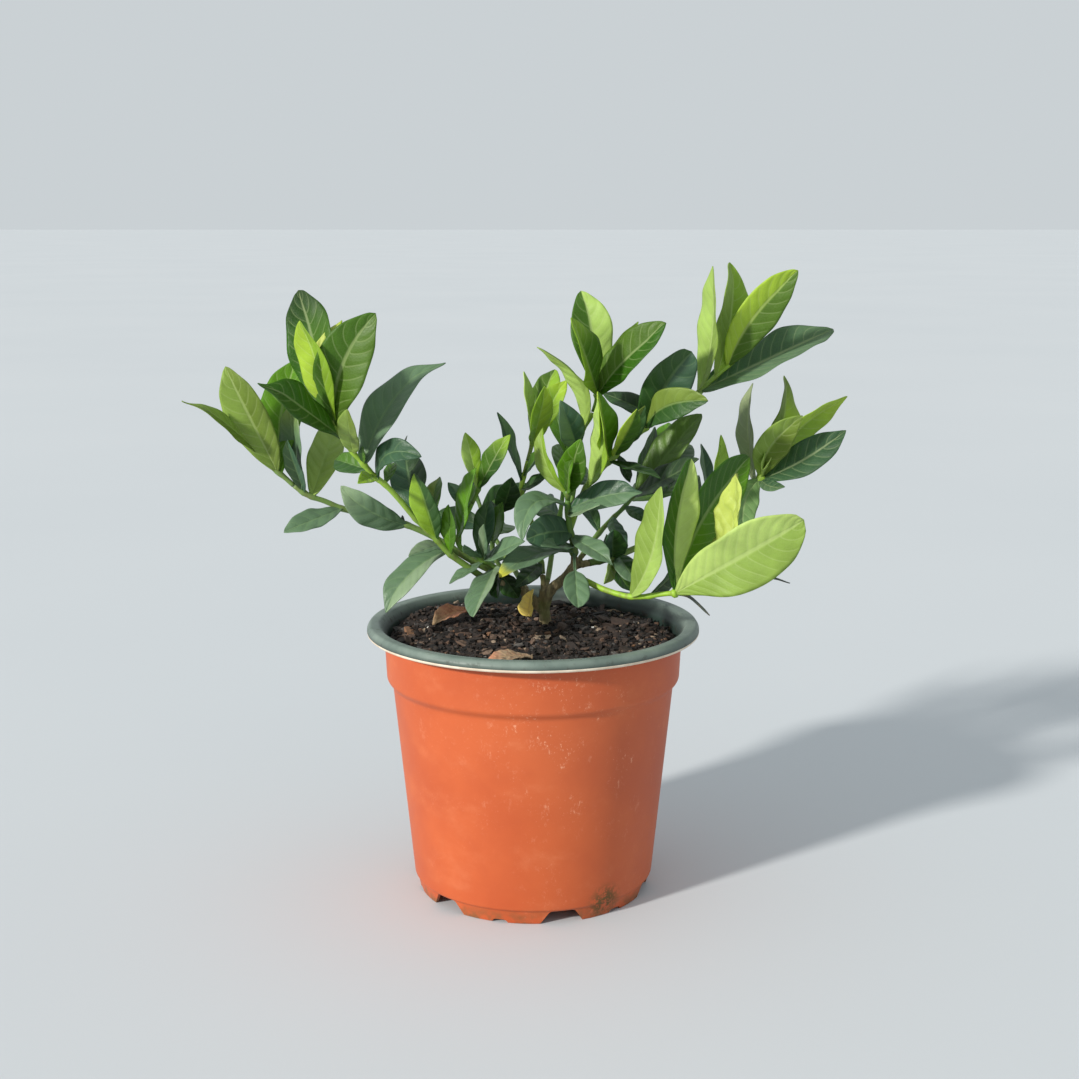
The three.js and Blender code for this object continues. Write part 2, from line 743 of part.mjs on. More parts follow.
function soilProfile() {
  const inset = POT.wall + SOIL.wallGap;
  const floor = POT.floorBottom + POT.wall + SOIL.wallGap;
  const wall = [
    [0, floor],
    [POT.bodyBottomRadius - inset, floor],
    [POT.bodyTopRadius - inset, POT.bodyTop + 2 * POT.innerStep],
    [POT.collarBottomRadius - inset, POT.collarBottom + 2 * POT.innerStep],
    [POT.collarTopRadius - inset, SOIL.level - SOIL.edgeDrop],
  ];
  const top = [...SOIL.rings].reverse().map((radius) => [radius, SOIL.level]);
  return [...wall, ...top].map(([radius, height]) => new THREE.Vector2(radius, height));
}

// A flake of bark that lies half sunk in the soil.
function chipSolid(random) {
  const between = ([low, high]) => THREE.MathUtils.lerp(low, high, random());
  const chip = new THREE.BoxGeometry(between(CHIPS.length), between(CHIPS.width), between(CHIPS.height));
  chip.rotateX((random() - 0.5) * CHIPS.pitch);
  chip.rotateY((random() - 0.5) * CHIPS.roll);
  chip.rotateZ(random() * Math.PI);
  const angle = random() * 2 * Math.PI;
  const radius = CHIPS.reach * Math.sqrt(random());
  const x = radius * Math.cos(angle);
  const y = radius * Math.sin(angle);
  chip.translate(x, y, soilLevel(x, y) - CHIPS.sunk);
  return { chip: solidOf(chip), x, y };
}

function soilSolid() {
  const random = seededRandom(SOIL.seed);
  const bed = lathe(soilProfile(), SOIL.sides);
  bed.deleteAttribute("normal");
  bed.deleteAttribute("uv");
  const merged = mergeVertices(bed, 1e-4);
  const corners = merged.attributes.position;
  for (let i = 0; i < corners.count; i += 1) {
    if (corners.getZ(i) < SOIL.level - 0.1) continue;
    const height = soilLevel(corners.getX(i), corners.getY(i)) + (random() - 0.5) * 2 * SOIL.roughness;
    corners.setZ(i, height);
  }
  let soil = solidOf(merged);
  for (let i = 0; i < CHIPS.count; i += 1) {
    const { chip, x, y } = chipSolid(random);
    const isClear = clearings.every(
      ([clearX, clearY, radius]) => Math.hypot(clearX - x, clearY - y) > radius,
    );
    if (isClear) soil = soil.add(chip);
  }
  const { radius: holeRadius, depth, sides } = SOIL.trunkHole;
  const hole = new THREE.CylinderGeometry(holeRadius, holeRadius, depth, sides);
  const [trunkFoot] = trunkParts[0].path;
  const foot = seen(trunkFoot);
  hole.rotateX(Math.PI / 2).translate(foot.x, foot.y, foot.z - GAP + depth / 2);
  return largestPiece(soil.subtract(solidOf(hole)));
}

// ---------------------------------------------------------------- the assembly

// The stems that don't have the mature leaves' colour all over.
const ownLooks = { trunk: "bark", low_right_branch: "young" };

function meshOf(name, body, look) {
  const { numProp, vertProperties, triVerts } = body.getMesh();
  if (numProp !== 3) throw new Error(`${name} has more than positions`);
  const geometry = new THREE.BufferGeometry();
  geometry.setAttribute("position", new THREE.BufferAttribute(Float32Array.from(vertProperties), 3));
  geometry.setIndex(new THREE.BufferAttribute(Uint32Array.from(triVerts), 1));
  geometry.computeVertexNormals();
  const mesh = new THREE.Mesh(geometry, looks[look]());
  mesh.name = name;
  return mesh;
}

const gardenia = new THREE.Group();
gardenia.add(meshOf("pot", potSolid(), "plastic"));
gardenia.add(meshOf("potting_soil", soilSolid(), "soil"));
for (const [name, leaf] of Object.entries(looseLeaves)) {
  gardenia.add(meshOf(name, looseLeafSolid(leaf), leaf.look));
}
for (const [name, body] of Object.entries(plantSolids())) {
  const look = ownLooks[name] ?? (name.endsWith("_new_growth") ? "young" : "mature");
  gardenia.add(meshOf(name, body, look));
}

export default gardenia;
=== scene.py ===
"""The looks of a young potted gardenia that is not in flower.

Tables and sizes are in millimetres and degrees and meshes in metres, +Z up, with the origin on the
pot's axis on the floor. A place on the plant is (x, z, depth) as seen from the front: x and z are
read on the upright plane through the pot's axis, and depth is the real Y.
"""

import math
import random

import bpy
import numpy as np
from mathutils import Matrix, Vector, noise


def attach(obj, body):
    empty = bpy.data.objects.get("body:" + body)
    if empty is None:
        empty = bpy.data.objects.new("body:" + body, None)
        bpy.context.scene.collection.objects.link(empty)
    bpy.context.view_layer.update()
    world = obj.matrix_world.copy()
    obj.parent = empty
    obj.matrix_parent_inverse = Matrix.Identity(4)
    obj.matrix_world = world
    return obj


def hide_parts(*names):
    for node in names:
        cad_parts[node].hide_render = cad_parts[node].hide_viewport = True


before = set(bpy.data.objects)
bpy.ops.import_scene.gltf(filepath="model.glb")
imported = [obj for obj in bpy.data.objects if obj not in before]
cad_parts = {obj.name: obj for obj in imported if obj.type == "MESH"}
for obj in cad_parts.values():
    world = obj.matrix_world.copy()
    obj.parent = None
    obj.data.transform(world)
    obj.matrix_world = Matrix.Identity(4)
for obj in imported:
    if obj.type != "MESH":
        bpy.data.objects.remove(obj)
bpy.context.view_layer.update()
bpy.ops.object.select_all(action="DESELECT")

# ------------------------------------------------------------------ sizes

MM = 0.001

# The camera, as fitted to the photo: its place, its pitch and its focal length in the photo's pixels.
EYE = np.array([2.9, -750.0, 305.5])
PITCH_DOWN = 10.9
FOCAL_PIXELS = 1700
PHOTO_SIDE = 1079
SENSOR = 36.0

POT_STEPS = 160
POT_WALL = 1.5
RIM_BOTTOM = 119.2
RIM_TOP = 124.0
RIM_RADIUS = 75.0
RIM_INSIDE = 69.2
CREAM_EDGE = 1.35
COLLAR_RADIUS = 67.3
# Places on the pot's outline, as (radius, height).
COLLAR_BOTTOM = (66.3, 98.8)
BODY_TOP = (63.7, 96.0)
BODY_BOTTOM = (54.8, 7.0)
FOOT_TOP = (53.7, 6.0)
FOOT_RADIUS = 52.4
FLOOR_BOTTOM = 6.5
# The radius of the middle of the pot's wall at each of these heights.
WALL_HEIGHTS = (7, 96, 99, 119)
WALL_MIDDLES = (54.1, 62.9, 65.6, 66.6)
ROUNDING_STEPS = 5
SMOOTH_ANGLE = 32

NOTCH_STEP = 30
FIRST_WIDE_NOTCH = 14
FIRST_NARROW_NOTCH = 44
WIDE_NOTCH = {"bottom": 22, "top": 11, "height": 6.2}
NARROW_NOTCH = {"bottom": 9, "top": 6, "height": 1.6}
NOTCH_REACH = 16
NOTCH_BELOW = 2
NOTCH_ROUNDING = 1.4
DRAIN_HOLES = 5
DRAIN_CIRCLE = 38
DRAIN_RADIUS = 4
DRAIN_DEPTH = 6
DRAIN_SIDES = 32

# Where the pot's wall is mossy and where it is worn, in the metres that its shader reads.
MOSS_PLACE = (0.0305, -0.043, 0.0075)
WORN_PLACE = (0.022, -0.06, 0.088)

SOIL_LEVEL = 116.2
SOIL_REACH = 65.2
SOIL_CELLS = 110
SOIL_EDGE = 6
SOIL_EDGE_DROP = 1.4
# Each mound is (height, x, y, spread), and each layer of lumps is (height, frequency, layer of noise).
SOIL_MOUNDS = [(4.8, -42, 30, 20), (2.0, 6, 14, 16)]
SOIL_LUMPS = [(1.1, 0.11, 3), (0.9, 0.35, 7), (0.35, 1.1, 11)]
# The rings, as (radius, height), that the bed's edge is drawn down to inside the pot.
SOIL_RINGS = [(64.5, 99.6), (61.8, 95.6), (53, 8.4)]

FLAKE_KINDS = 6
FLAKE_JITTER = 0.11
# The loose bark keeps this far from the pot's wall. It sinks by a share of its length and then rises
# or sinks by up to this much.
FLAKE_MARGIN = 3
FLAKE_SINK = 0.1
FLAKE_RISE = (-0.4, 0.6)
# How much the tilt and the roll of the loose bark spread, in radians.
FLAKE_TILT = 0.22
FLAKE_ROLL = 0.35
# Long flakes keep out of these circles round the loose leaves and the trunk, each (x, y, radius), and
# shorter ones keep out of a share of each radius.
CLEARINGS = [(-38, 18, 13), (-10, -50, 12), (-1.5, 3.5, 4), (5, 15, 4.5)]
LONG_FLAKE = 4
SHORT_FLAKE_SHARE = 0.6

BLADE_COLUMNS = 16
BLADE_ROWS = 44
BLADE_THICKNESS = 0.42
STALK_THICKNESS = 0.75
RIB_THICKNESS = 0.5
RIB_WIDTH = 0.5
CUSHION_HEIGHT = 0.12
VEIN_SPACING = 5.8
FEWEST_VEINS = 5
# A leaf's width is this share of its length, where turning it can hide that much, and is always at
# least this many times the width that is seen.
WIDTH_TO_LENGTH = 0.37
LEAST_TURNED = 1.04
# Leaves grow at least this far from the ends of their stretch of a stem.
FOOT_MARGIN = 1.5
# The waves of each leaf are this many radians on from those of the leaf before it.
PHASE_STEP = 2.4
LOOSE_PHASE = 1
LOOSE_WAVE = 0.1

CURVE_STEPS = 24
# The gap between a stub and the rest of its stem, and below new growth, as in the CAD.
STEM_GAP = 0.3
STEM_SIDES = 14
STEM_STEP = 1.3
NODE_SWELLING = 0.22
NODE_REACH = 1.4
BUD_SIDES = 10
BUD_RINGS = 9
BUD_LENGTH = 5.0
BUD_SUNK = 0.6
STALK_SIDES = 8
STALK_STEP = 0.8
TRUNK_STEP = 1.5
TRUNK_VOXEL = 0.32
TRUNK_ROUGHNESS = 0.32
# The frequency of the trunk's roughness per metre along each axis, low along its grain.
TRUNK_GRAIN = (700, 700, 230)

SUN_HEADING = (0.76, 0.65, -0.43)
SUN_ENERGY = 3.9
SUN_ANGLE = 5
SUN_COLOUR = (1.0, 0.965, 0.91)
SKY_COLOUR = (0.76, 0.815, 0.845, 1)
SKY_STRENGTH = 0.78
FLOOR_METRES = 60

# ------------------------------------------------------------------ colours, as 0 to 255 values

PAINTS = {
    "pale_lime": (176, 206, 106),
    "lime": (146, 184, 52),
    "yellow_lime": (180, 212, 66),
    "shoot_lime": (204, 230, 128),
    "olive_lime": (146, 174, 78),
    "gold_lime": (206, 220, 108),
    "bright": (92, 142, 24),
    "rich": (50, 98, 16),
    "olive_leaf": (84, 116, 38),
    "dusty": (150, 162, 124),
    "spot_yellow": (196, 196, 66),
    "leaf": (72, 112, 30),
    "dark": (48, 84, 34),
    "deep": (36, 62, 30),
    # The teal and grey greens are partly the leaves' own dark green and partly painted reflection: the
    # pale sky's sheen on glossy leaves.
    "teal": (58, 90, 64),
    "grey": (98, 127, 94),
    "pale_grey": (134, 157, 121),
    "olive": (118, 140, 58),
    "blue_green": (124, 160, 100),
    "dry": (184, 124, 94),
    "tan": (172, 146, 112),
    "dead_grey": (140, 120, 96),
    # Partly painted light: a straw yellow lighter than the leaf itself, so that a leaf in shade looks
    # sunlit.
    "straw": (255, 226, 116),
    "bark": (112, 98, 66),
    "twig_green": (104, 132, 62),
    "dark_stalk": (66, 74, 66),
    "soil_black": (30, 24, 20),

    "mature_rib": (160, 190, 120),
    "mature_under_rib": (176, 198, 144),
    "young_rib": (222, 236, 170),
    "young_under_rib": (224, 238, 176),
    "dead_stain": (120, 76, 52),
    "dead_rib": (206, 170, 122),

    "bark_dark": (78, 68, 50),
    "bark_middle": (130, 118, 84),
    "bark_light": (176, 164, 126),
    "bark_moss": (104, 112, 54),
    "bark_cork": (176, 160, 124),

    "terracotta_dark": (182, 80, 35),
    "terracotta_light": (193, 90, 42),
    "pot_dust": (216, 132, 90),
    "pot_scuff": (240, 184, 150),
    "pot_grime": (104, 80, 44),
    "pot_moss": (88, 76, 38),
    "rim_dark": (92, 107, 99),
    "rim_light": (123, 137, 127),
    # Painted shade for the pot's inside wall.
    "inside_dark": (25, 42, 37),
    "soil_splash": (58, 48, 38),
    "cut_edge_dark": (206, 190, 168),
    "cut_edge_light": (228, 216, 196),

    "soil_dark": (16, 13, 11),
    "soil_middle": (42, 32, 26),
    "soil_light": (78, 60, 48),
    "soil_damp": (40, 29, 23),
    "perlite": (226, 224, 216),

    "floor_dark": (196, 201, 205),
    "floor_light": (204, 208, 211),
}

# Colours of the loose bark, each with how often it comes.
FLAKE_PAINTS = [
    ((52, 41, 34), 9), ((38, 31, 27), 11), ((26, 22, 20), 11), ((72, 56, 46), 4), ((92, 70, 56), 2),
    ((112, 92, 78), 1.6), ((150, 132, 112), 0.8), ((74, 70, 67), 2), ((118, 86, 62), 0.5),
]
CHIP_PAINTS = [
    ((62, 48, 40), 3), ((44, 36, 32), 3), ((96, 76, 62), 2), ((126, 106, 88), 1), ((80, 76, 72), 1),
]

# What lies in the soil: (name, seed, count, lengths, widths and thicknesses as shares of the length,
# colours).
SOIL_BITS = [
    ("bark_chips", 15, 70, (8, 14), (0.2, 0.42), (0.1, 0.18), CHIP_PAINTS),
    ("bark_flakes", 11, 420, (3.5, 9.5), (0.3, 0.65), (0.14, 0.3), FLAKE_PAINTS),
    ("bark_crumbs", 12, 3300, (0.8, 2.9), (0.45, 0.9), (0.45, 0.9), FLAKE_PAINTS),
    ("bark_fibres", 14, 420, (3.5, 9), (0.07, 0.16), (0.06, 0.12), FLAKE_PAINTS),
    ("perlite_grains", 13, 22, (1.0, 2.2), (0.45, 0.9), (0.45, 0.9), [("perlite", 1)]),
]
# A twig that leans on the pot's wall, as (path, radius, paint).
SOIL_TWIG = ([(60, 117.5, 17), (62.5, 120.5, 17), (66.3, 125.2, 16)], 0.8, "soil_black")


def linear(paint):
    """A colour from its name or its 0 to 255 values, as linear light."""
    values = np.array(PAINTS.get(paint, paint), float) / 255
    return np.where(values <= 0.04045, values / 12.92, ((values + 0.055) / 1.055) ** 2.4)


# ------------------------------------------------------------------ the plant's layout

TRUNK_PARTS = [
    {"path": [(5.5, 86, 15), (5.5, 118, 15), (5, 130, 14.3), (5, 138, 13.6)], "radius": (3.4, 2.4)},
    {"path": [(5, 128, 14.5), (-1, 134, 13.5), (-8, 141, 13)], "radius": (2.6, 2.1)},
    {"path": [(5, 130, 14.3), (8, 138, 12), (14, 143, 10), (18.5, 149, 8)], "radius": (2.6, 2.2)},
]

# How a leaf is shaped where its own options say nothing else.
LEAF_SHAPE = {
    "arch": 0.07,  # how far its middle bends towards the viewer, as a share of its length
    "sway": 0,  # how far its middle bends aside, as a share of its length
    "turning": 2,  # how many times wider than it is seen it may be
    "fold": 17,  # the degrees that each half rises from the midrib
    "widest": 0.55,  # the share of its length at which it is widest
    "roundness": 0.74,  # the lower, the blunter its ends
    "tail": 0.14,  # how much narrower its tip is drawn
    "bare": 0,  # the share of its length that is a bare stalk
    "wave": 0.07,  # how high its edge waves, as a share of its half width
    "crumple": 0,  # how high it is crumpled, in millimetres
    "tip_from": 0.55,  # the share of its length from which its tip is tinted
}

# A leaf is (name, seen foot, seen tip with its depth, seen width, paints, options). Its paints are
# those of its left or upper half, of its right or lower half, and of its tip. The two halves' paints
# are partly the leaf's own tones and partly painted light and shade, one half lighter or darker as
# the light falls on its fold. Its options are those of LEAF_SHAPE, and three more: "hook" bends its
# tip aside and "curl" bends it back, both as shares of its length, and "turned" picks which of the
# two ways it is turned about its midrib. A leaf that names no hook or curl gets a small one of its own.
#
# A stem grows on the trunk or on another stem, and its stub, its first millimetres, is part of that
# one's CAD node. From the share "new_from" of its length on, it is new growth with young leaves. Its
# radius and its paints are those of its two ends, and a stalk is (path, radius, paint).
LEAFY_STEMS = {
    "west_low_branch": {
        "on": "trunk",
        "stub": 12,
        "new_from": 0.86,
        "radius": (1.7, 1.0),
        "paints": ("twig_green", "twig_green"),
        "stalks": [([(-58, 168.3, 5.5), (-58.3, 170, 5), (-58.6, 172, 4)], 0.9, "dark_stalk")],
        "path": [
            (-8, 141, 13), (-16, 145.5, 14), (-25, 150, 13), (-35, 156, 11), (-46, 163, 8),
            (-58, 168.3, 6), (-67, 171.3, 4), (-76, 172.7, 2), (-85, 175, 0), (-93, 178.5, -2),
            (-100, 181, -4), (-106, 185, -5), (-111, 189.5, -6), (-115, 192.7, -7),
            (-120, 197.7, -8),
        ],
        "leaves": [
            ("w5", (-102, 182), (-109.5, 206, -14), 7, ("deep", "teal"), {}),
            ("w5b", (-103, 184), (-107.5, 224, -6), 9, ("grey", "grey", "olive"), {}),
            ("w6", (-99, 181), (-88, 214, 22), 16, ("olive_lime", "olive_lime"), {"roundness": 0.6}),
            ("w7", (-86, 175), (-111.8, 164.9, -20), 9, ("grey", "grey"), {"roundness": 0.6}),
            ("w8", (-41, 158), (-56, 153.7, -12), 6, ("pale_grey", "grey"), {}),
            ("w9", (-37, 155), (-66.8, 127.3, -10), 12, ("grey", "pale_grey"), {"sway": 0.1}),
            ("w10", (-57, 168), (-86, 185, -8), 13, ("grey", "grey", "pale_grey"),
             {"sway": -0.06, "roundness": 0.6}),
        ],
        "new_leaves": [
            ("w1", (-114, 192), (-135.8, 238.6, -16), 19, ("olive_lime", "olive"), {"roundness": 0.66}),
            ("w2", (-119, 197), (-154.5, 224.5, -32), 5, ("olive_lime", "olive"),
             {"sway": 0.03, "tail": 0.7, "hook": -0.03, "roundness": 1.1, "fold": 6}),
            ("w3", (-112, 191), (-104, 241.2, 14), 21, ("bright", "bright"), {"sway": -0.08}),
        ],
    },
    "west_high_branch": {
        "on": "trunk",
        "stub": 10,
        "new_from": 0.92,
        "radius": (1.6, 1.0),
        "paints": ("twig_green", "lime"),
        "stalks": [([(-59, 199.5, -31), (-58, 202.5, -33), (-55.9, 208, -36)], 0.5, "dark_stalk")],
        "path": [
            (-8, 141, 13), (-14, 141, 8), (-22, 143.5, 4), (-30, 149, 1), (-38, 155, -3),
            (-45, 163, -6), (-53, 171, -11), (-60, 179.5, -15), (-66, 186, -18), (-71, 190, -20),
            (-76, 196, -23), (-80.5, 201, -25), (-84, 206, -27), (-88, 213, -30),
        ],
        "leaves": [
            ("h6", (-79.5, 201), (-82.5, 219.5, -46), 9, ("olive_lime", "olive"), {"roundness": 0.6}),
            ("h6b", (-75, 196), (-76, 203, -30), 3, ("dark", "leaf"), {"tail": 0}),
            ("h7", (-75, 195), (-38.4, 240, -8), 15, ("grey", "grey"),
             {"sway": -0.1, "roundness": 0.85, "tail": 0.2, "hook": 0.06, "widest": 0.42}),
            ("h8", (-69, 189), (-50, 199, -40), 10, ("teal", "teal"), {"sway": -0.22, "roundness": 0.6}),
            ("h9", (-52, 171), (-57, 201, 10), 17, ("teal", "deep"), {}),
            ("h10", (-43, 161), (-53, 191, -20), 12, ("lime", "dark"), {}),
            ("h10b", (-47, 166), (-42, 190, 8), 8, ("olive", "leaf"), {}),
            ("h11", (-37, 154), (-37.8, 177, -14), 7, ("bright", "leaf"), {}),
            ("h12", (-66, 186), (-62, 196, -6), 5, ("leaf", "leaf"), {}),
            ("h13", (-71, 190), (-78, 187, -40), 6, ("lime", "lime"), {}),
            ("h14", (-74, 192), (-88, 197, -8), 11, ("leaf", "dark"), {}),
        ],
        "new_leaves": [
            ("h5", (-85, 206), (-121, 231.6, -58), 12.5, ("rich", "dark"),
             {"tail": 0.6, "hook": -0.04}),
            ("h1", (-88, 213), (-103.2, 272.6, -12), 20, ("rich", "leaf", "deep"),
             {"roundness": 0.55, "hook": -0.02, "wave": 0.14}),
            ("h2", (-87, 211), (-102, 258.9, -44), 12.5, ("yellow_lime", "lime"),
             {"wave": 0.12, "turned": 1, "widest": 0.64}),
            ("h3", (-88, 212), (-84.5, 259.5, -26), 9, ("gold_lime", "yellow_lime"),
             {"wave": 0.16, "sway": -0.12, "crumple": 0.8, "turning": 1.2}),
            ("h4", (-88, 212), (-69, 262, -46), 23, ("leaf", "olive_leaf"),
             {"sway": -0.1, "roundness": 0.6, "wave": 0.12}),
        ],
    },
    "mid_left_shoot": {
        "on": "trunk",
        "stub": 9,
        "new_from": 0.86,
        "radius": (1.4, 0.9),
        "paints": ("twig_green", "bright"),
        "path": [
            (-8, 141, 13), (-16, 147, 8), (-24, 153, 3), (-33, 158, 0), (-32, 168, 0),
            (-27, 178, -2), (-24, 185, -5),
        ],
        "leaves": [
            ("m3a", (-33, 162), (-26, 193.5, -20), 7, ("bright", "bright"), {}),
            ("m3b", (-33, 160), (-24.5, 188, 12), 6, ("bright", "leaf"), {}),
            ("m4", (-29, 175), (-38, 187, -4), 7, ("teal", "grey"), {}),
            ("m5a", (-23, 154), (-19.6, 179, 10), 10, ("dark", "teal"), {"roundness": 0.6}),
            ("m8", (-22, 152), (-4, 160.5, -20), 7, ("grey", "grey"), {}),
            ("m9", (-24, 153), (-31, 158.5, -16), 4, ("grey", "teal"), {}),
            ("m11", (-22, 151), (-38, 141.3, -6), 4, ("grey", "grey"), {}),
            ("m12", (-17, 148), (-27, 125.2, -38), 10, ("grey", "pale_grey"), {"roundness": 0.6}),
            ("m12b", (-15, 146), (-16.5, 134.5, -20), 6, ("dark", "deep"), {"tail": 0}),
            ("m13", (-13, 145), (-6.5, 134, 9), 9, ("dark", "deep"), {}),
            ("m14", (-22, 152), (-22, 168, -14), 4, ("pale_grey", "grey"), {}),
        ],
        "new_leaves": [
            ("m1", (-25, 184), (-30, 209.5, -2), 8.5, ("pale_lime", "lime"), {}),
            ("m2", (-25, 184), (-10.5, 208.6, -12), 9, ("leaf", "dark", "lime"), {}),
        ],
    },
    "small_left_shoot": {
        "on": "trunk",
        "stub": 8,
        "radius": (1.2, 0.8),
        "paints": ("twig_green", "leaf"),
        "path": [(-5, 138, 13.2), (-12, 145, 18), (-18, 155, 21), (-17, 166, 21), (-13, 176, 20)],
        "leaves": [
            ("m5b", (-18, 158), (-19, 179, 36), 9, ("teal", "deep"), {}),
            ("m6", (-18, 160), (-14, 178, 8), 8, ("leaf", "leaf"), {}),
            ("m7", (-14, 174), (-9.5, 189.3, 8), 12, ("dark", "deep"), {}),
            ("m7b", (-13, 175), (-3, 187, 32), 7, ("grey", "teal"), {}),
        ],
    },
    "centre_left_shoot": {
        "on": "trunk",
        "stub": 8,
        "new_from": 0.84,
        "radius": (1.4, 0.9),
        "paints": ("twig_green", "lime"),
        "path": [
            (5, 137, 13.7), (4, 148, 17), (2, 160, 19), (-1, 170, 20), (-5, 183, 20),
            (-4, 190, 19), (-1.5, 200, 18), (0.5, 208, 18),
        ],
        "leaves": [
            ("c5", (-5, 187), (-15.4, 218.5, 12), 5, ("teal", "grey"), {}),
            ("c6", (-4, 190), (5, 202, 0), 4, ("leaf", "dark"), {}),
            ("c6b", (-5, 184), (8, 191, 4), 5, ("dark", "deep"), {}),
            ("m17", (4, 150), (-8, 139, -2), 8, ("deep", "deep"), {}),
        ],
        "new_leaves": [
            ("c1", (0, 206), (-3.7, 236.6, 26), 4, ("shoot_lime", "pale_lime"), {}),
            ("c2a", (0, 207), (9.5, 238, 38), 12, ("olive_leaf", "lime"), {"roundness": 0.6}),
            ("c2b", (0, 204), (5, 230, -4), 10, ("lime", "yellow_lime"), {"wave": 0.14}),
            ("c2c", (0, 206), (14.5, 233, 22), 11, ("bright", "lime", "yellow_lime"), {"wave": 0.14}),
        ],
    },
    "centre_branch": {
        "on": "trunk",
        "stub": 5,
        "new_from": 0.86,
        "radius": (1.6, 1.1),
        "paints": ("twig_green", "leaf"),
        "path": [(18.5, 149, 8), (18.2, 158, 6), (16.5, 166, 4), (15.6, 174, 2), (15.5, 184, -1)],
        "leaves": [
            ("m16", (18.4, 152), (-15.4, 144, -16), 9, ("grey", "grey", "spot_yellow"),
             {"sway": 0.1, "roundness": 0.6, "tip_from": 0.84}),
            ("n1", (15.6, 176), (-5.2, 161, -22), 10, ("grey", "grey"), {"sway": 0.3, "roundness": 0.6}),
            ("n2", (16.4, 164), (-3, 161, -8), 16, ("teal", "teal"),
             {"sway": 0.05, "roundness": 0.5, "tail": 0.1}),
            ("n2b", (17.5, 158), (4, 158.8, -16), 4.5, ("grey", "grey"), {"roundness": 0.6}),
            ("r8", (16, 174), (49, 182.5, -14), 12, ("teal", "grey"),
             {"wave": 0.12, "sway": -0.06, "roundness": 0.55, "tail": 0.6}),
            ("r9", (16, 172), (30, 177, -20), 4, ("pale_grey", "grey"), {}),
            ("r12", (17, 162), (36, 150, -16), 9, ("grey", "grey"), {"roundness": 0.6, "tail": 0.6}),
            ("r15", (18.4, 153), (20.4, 129.5, -22), 12.5, ("grey", "grey"),
             {"roundness": 0.5, "tail": 0.1, "bare": 0.42}),
        ],
        "new_leaves": [
            ("y1", (15.5, 182), (4, 211.5, 0), 7, ("olive_lime", "lime"), {"sway": -0.12, "turned": 1}),
            ("y2", (15.5, 183), (21, 206, -24), 12.5, ("bright", "leaf"), {"roundness": 0.6}),
            ("y3", (15.5, 183), (22, 203, -6), 5, ("bright", "lime"), {}),
            ("y4", (15.5, 182), (17, 197, -22), 5, ("leaf", "bright"), {}),
        ],
    },
    "centre_top_branch": {
        "on": "centre_branch",
        "stub": 5,
        "new_from": 0.84,
        "radius": (1.3, 0.9),
        "paints": ("leaf", "lime"),
        "path": [
            (16, 172, 2.5), (18, 183, 7), (19.5, 195, 9), (21.5, 209, 12), (26, 217, 13),
            (29, 227, 14),
        ],
        "leaves": [
            ("c3", (21.5, 211), (1.6, 246.5, -6), 6.5, ("pale_lime", "olive_lime"),
             {"sway": 0.2, "turned": 1}),
            ("c4", (20, 202), (12.5, 223.5, -8), 12, ("grey", "teal"), {}),
        ],
        "new_leaves": [
            ("t1", (29, 226), (21.5, 272.7, 12), 19, ("leaf", "pale_lime"),
             {"sway": 0.03, "roundness": 0.6, "wave": 0.14, "curl": 0.1}),
            ("t2", (29, 226), (18, 260, -18), 10, ("leaf", "lime", "lime"), {"wave": 0.14}),
            ("t3", (29, 226), (25, 251, 34), 6, ("yellow_lime", "lime"), {}),
            ("t4", (29, 226), (57.6, 258.4, -8), 15, ("olive_leaf", "rich"),
             {"sway": -0.05, "roundness": 0.6, "hook": -0.05, "wave": 0.16}),
            ("t5", (29, 226), (46, 258.5, 24), 6, ("lime", "lime"), {}),
        ],
    },
    "top_right_branch": {
        "on": "centre_branch",
        "stub": 6,
        "new_from": 0.8,
        "radius": (1.6, 1.0),
        "paints": ("twig_green", "lime"),
        "path": [
            (16.5, 166, 4), (20, 176, 9), (25, 186.5, 11), (35, 198, 12), (47.5, 209.5, 15),
            (62, 221, 20), (73, 227, 25), (78, 232, 26), (87, 240, 28),
        ],
        "leaves": [
            ("y5", (24, 185), (28, 224, -8), 8, ("pale_lime", "lime"),
             {"sway": 0.12, "turned": 1}),
            ("y6", (33, 197), (29.5, 227.5, -6), 9, ("yellow_lime", "bright"), {"wave": 0.16}),
            ("y7", (36, 199), (46, 220, -10), 9, ("yellow_lime", "leaf"), {"wave": 0.14}),
            ("d5", (36, 199), (50, 221, 2), 9, ("olive", "dark"), {}),
            ("d6", (56, 216), (31, 227, 34), 9, ("dark", "deep"), {}),
            ("d7", (42, 205), (51, 224, 18), 6, ("dark", "dark"), {}),
            ("r1", (50, 212), (70, 245, 2), 19, ("dark", "teal"),
             {"sway": -0.045, "roundness": 0.4, "tail": 0, "widest": 0.6}),
            ("r2", (50, 212), (77.5, 223.5, -12), 15, ("olive", "dark"),
             {"roundness": 0.6, "sway": -0.13}),
            ("r6", (34, 197), (57, 189.5, -8), 4, ("dark", "deep"), {}),
            ("r7", (37, 200), (43.5, 187, 16), 5, ("deep", "deep"), {}),
        ],
        "new_leaves": [
            ("d1", (72, 227), (77.6, 282.2, 10), 9.5, ("pale_lime", "olive_lime"),
             {"sway": 0.065, "turned": 1}),
            ("d2", (81, 234), (86.8, 284.4, 38), 14, ("olive_lime", "lime"),
             {"sway": 0.05, "hook": 0, "roundness": 0.6}),
            ("d3", (86, 239), (115.6, 280.6, 14), 19, ("yellow_lime", "olive_leaf"),
             {"sway": -0.08, "roundness": 0.62}),
            ("d4", (74, 228), (131.8, 255, 42), 16.5, ("teal", "grey", "grey"),
             {"roundness": 0.5, "hook": 0, "tail": 0.3, "wave": 0.1, "curl": 0}),
        ],
    },
    "right_branch": {
        "on": "trunk",
        "stub": 8,
        "radius": (1.4, 0.9),
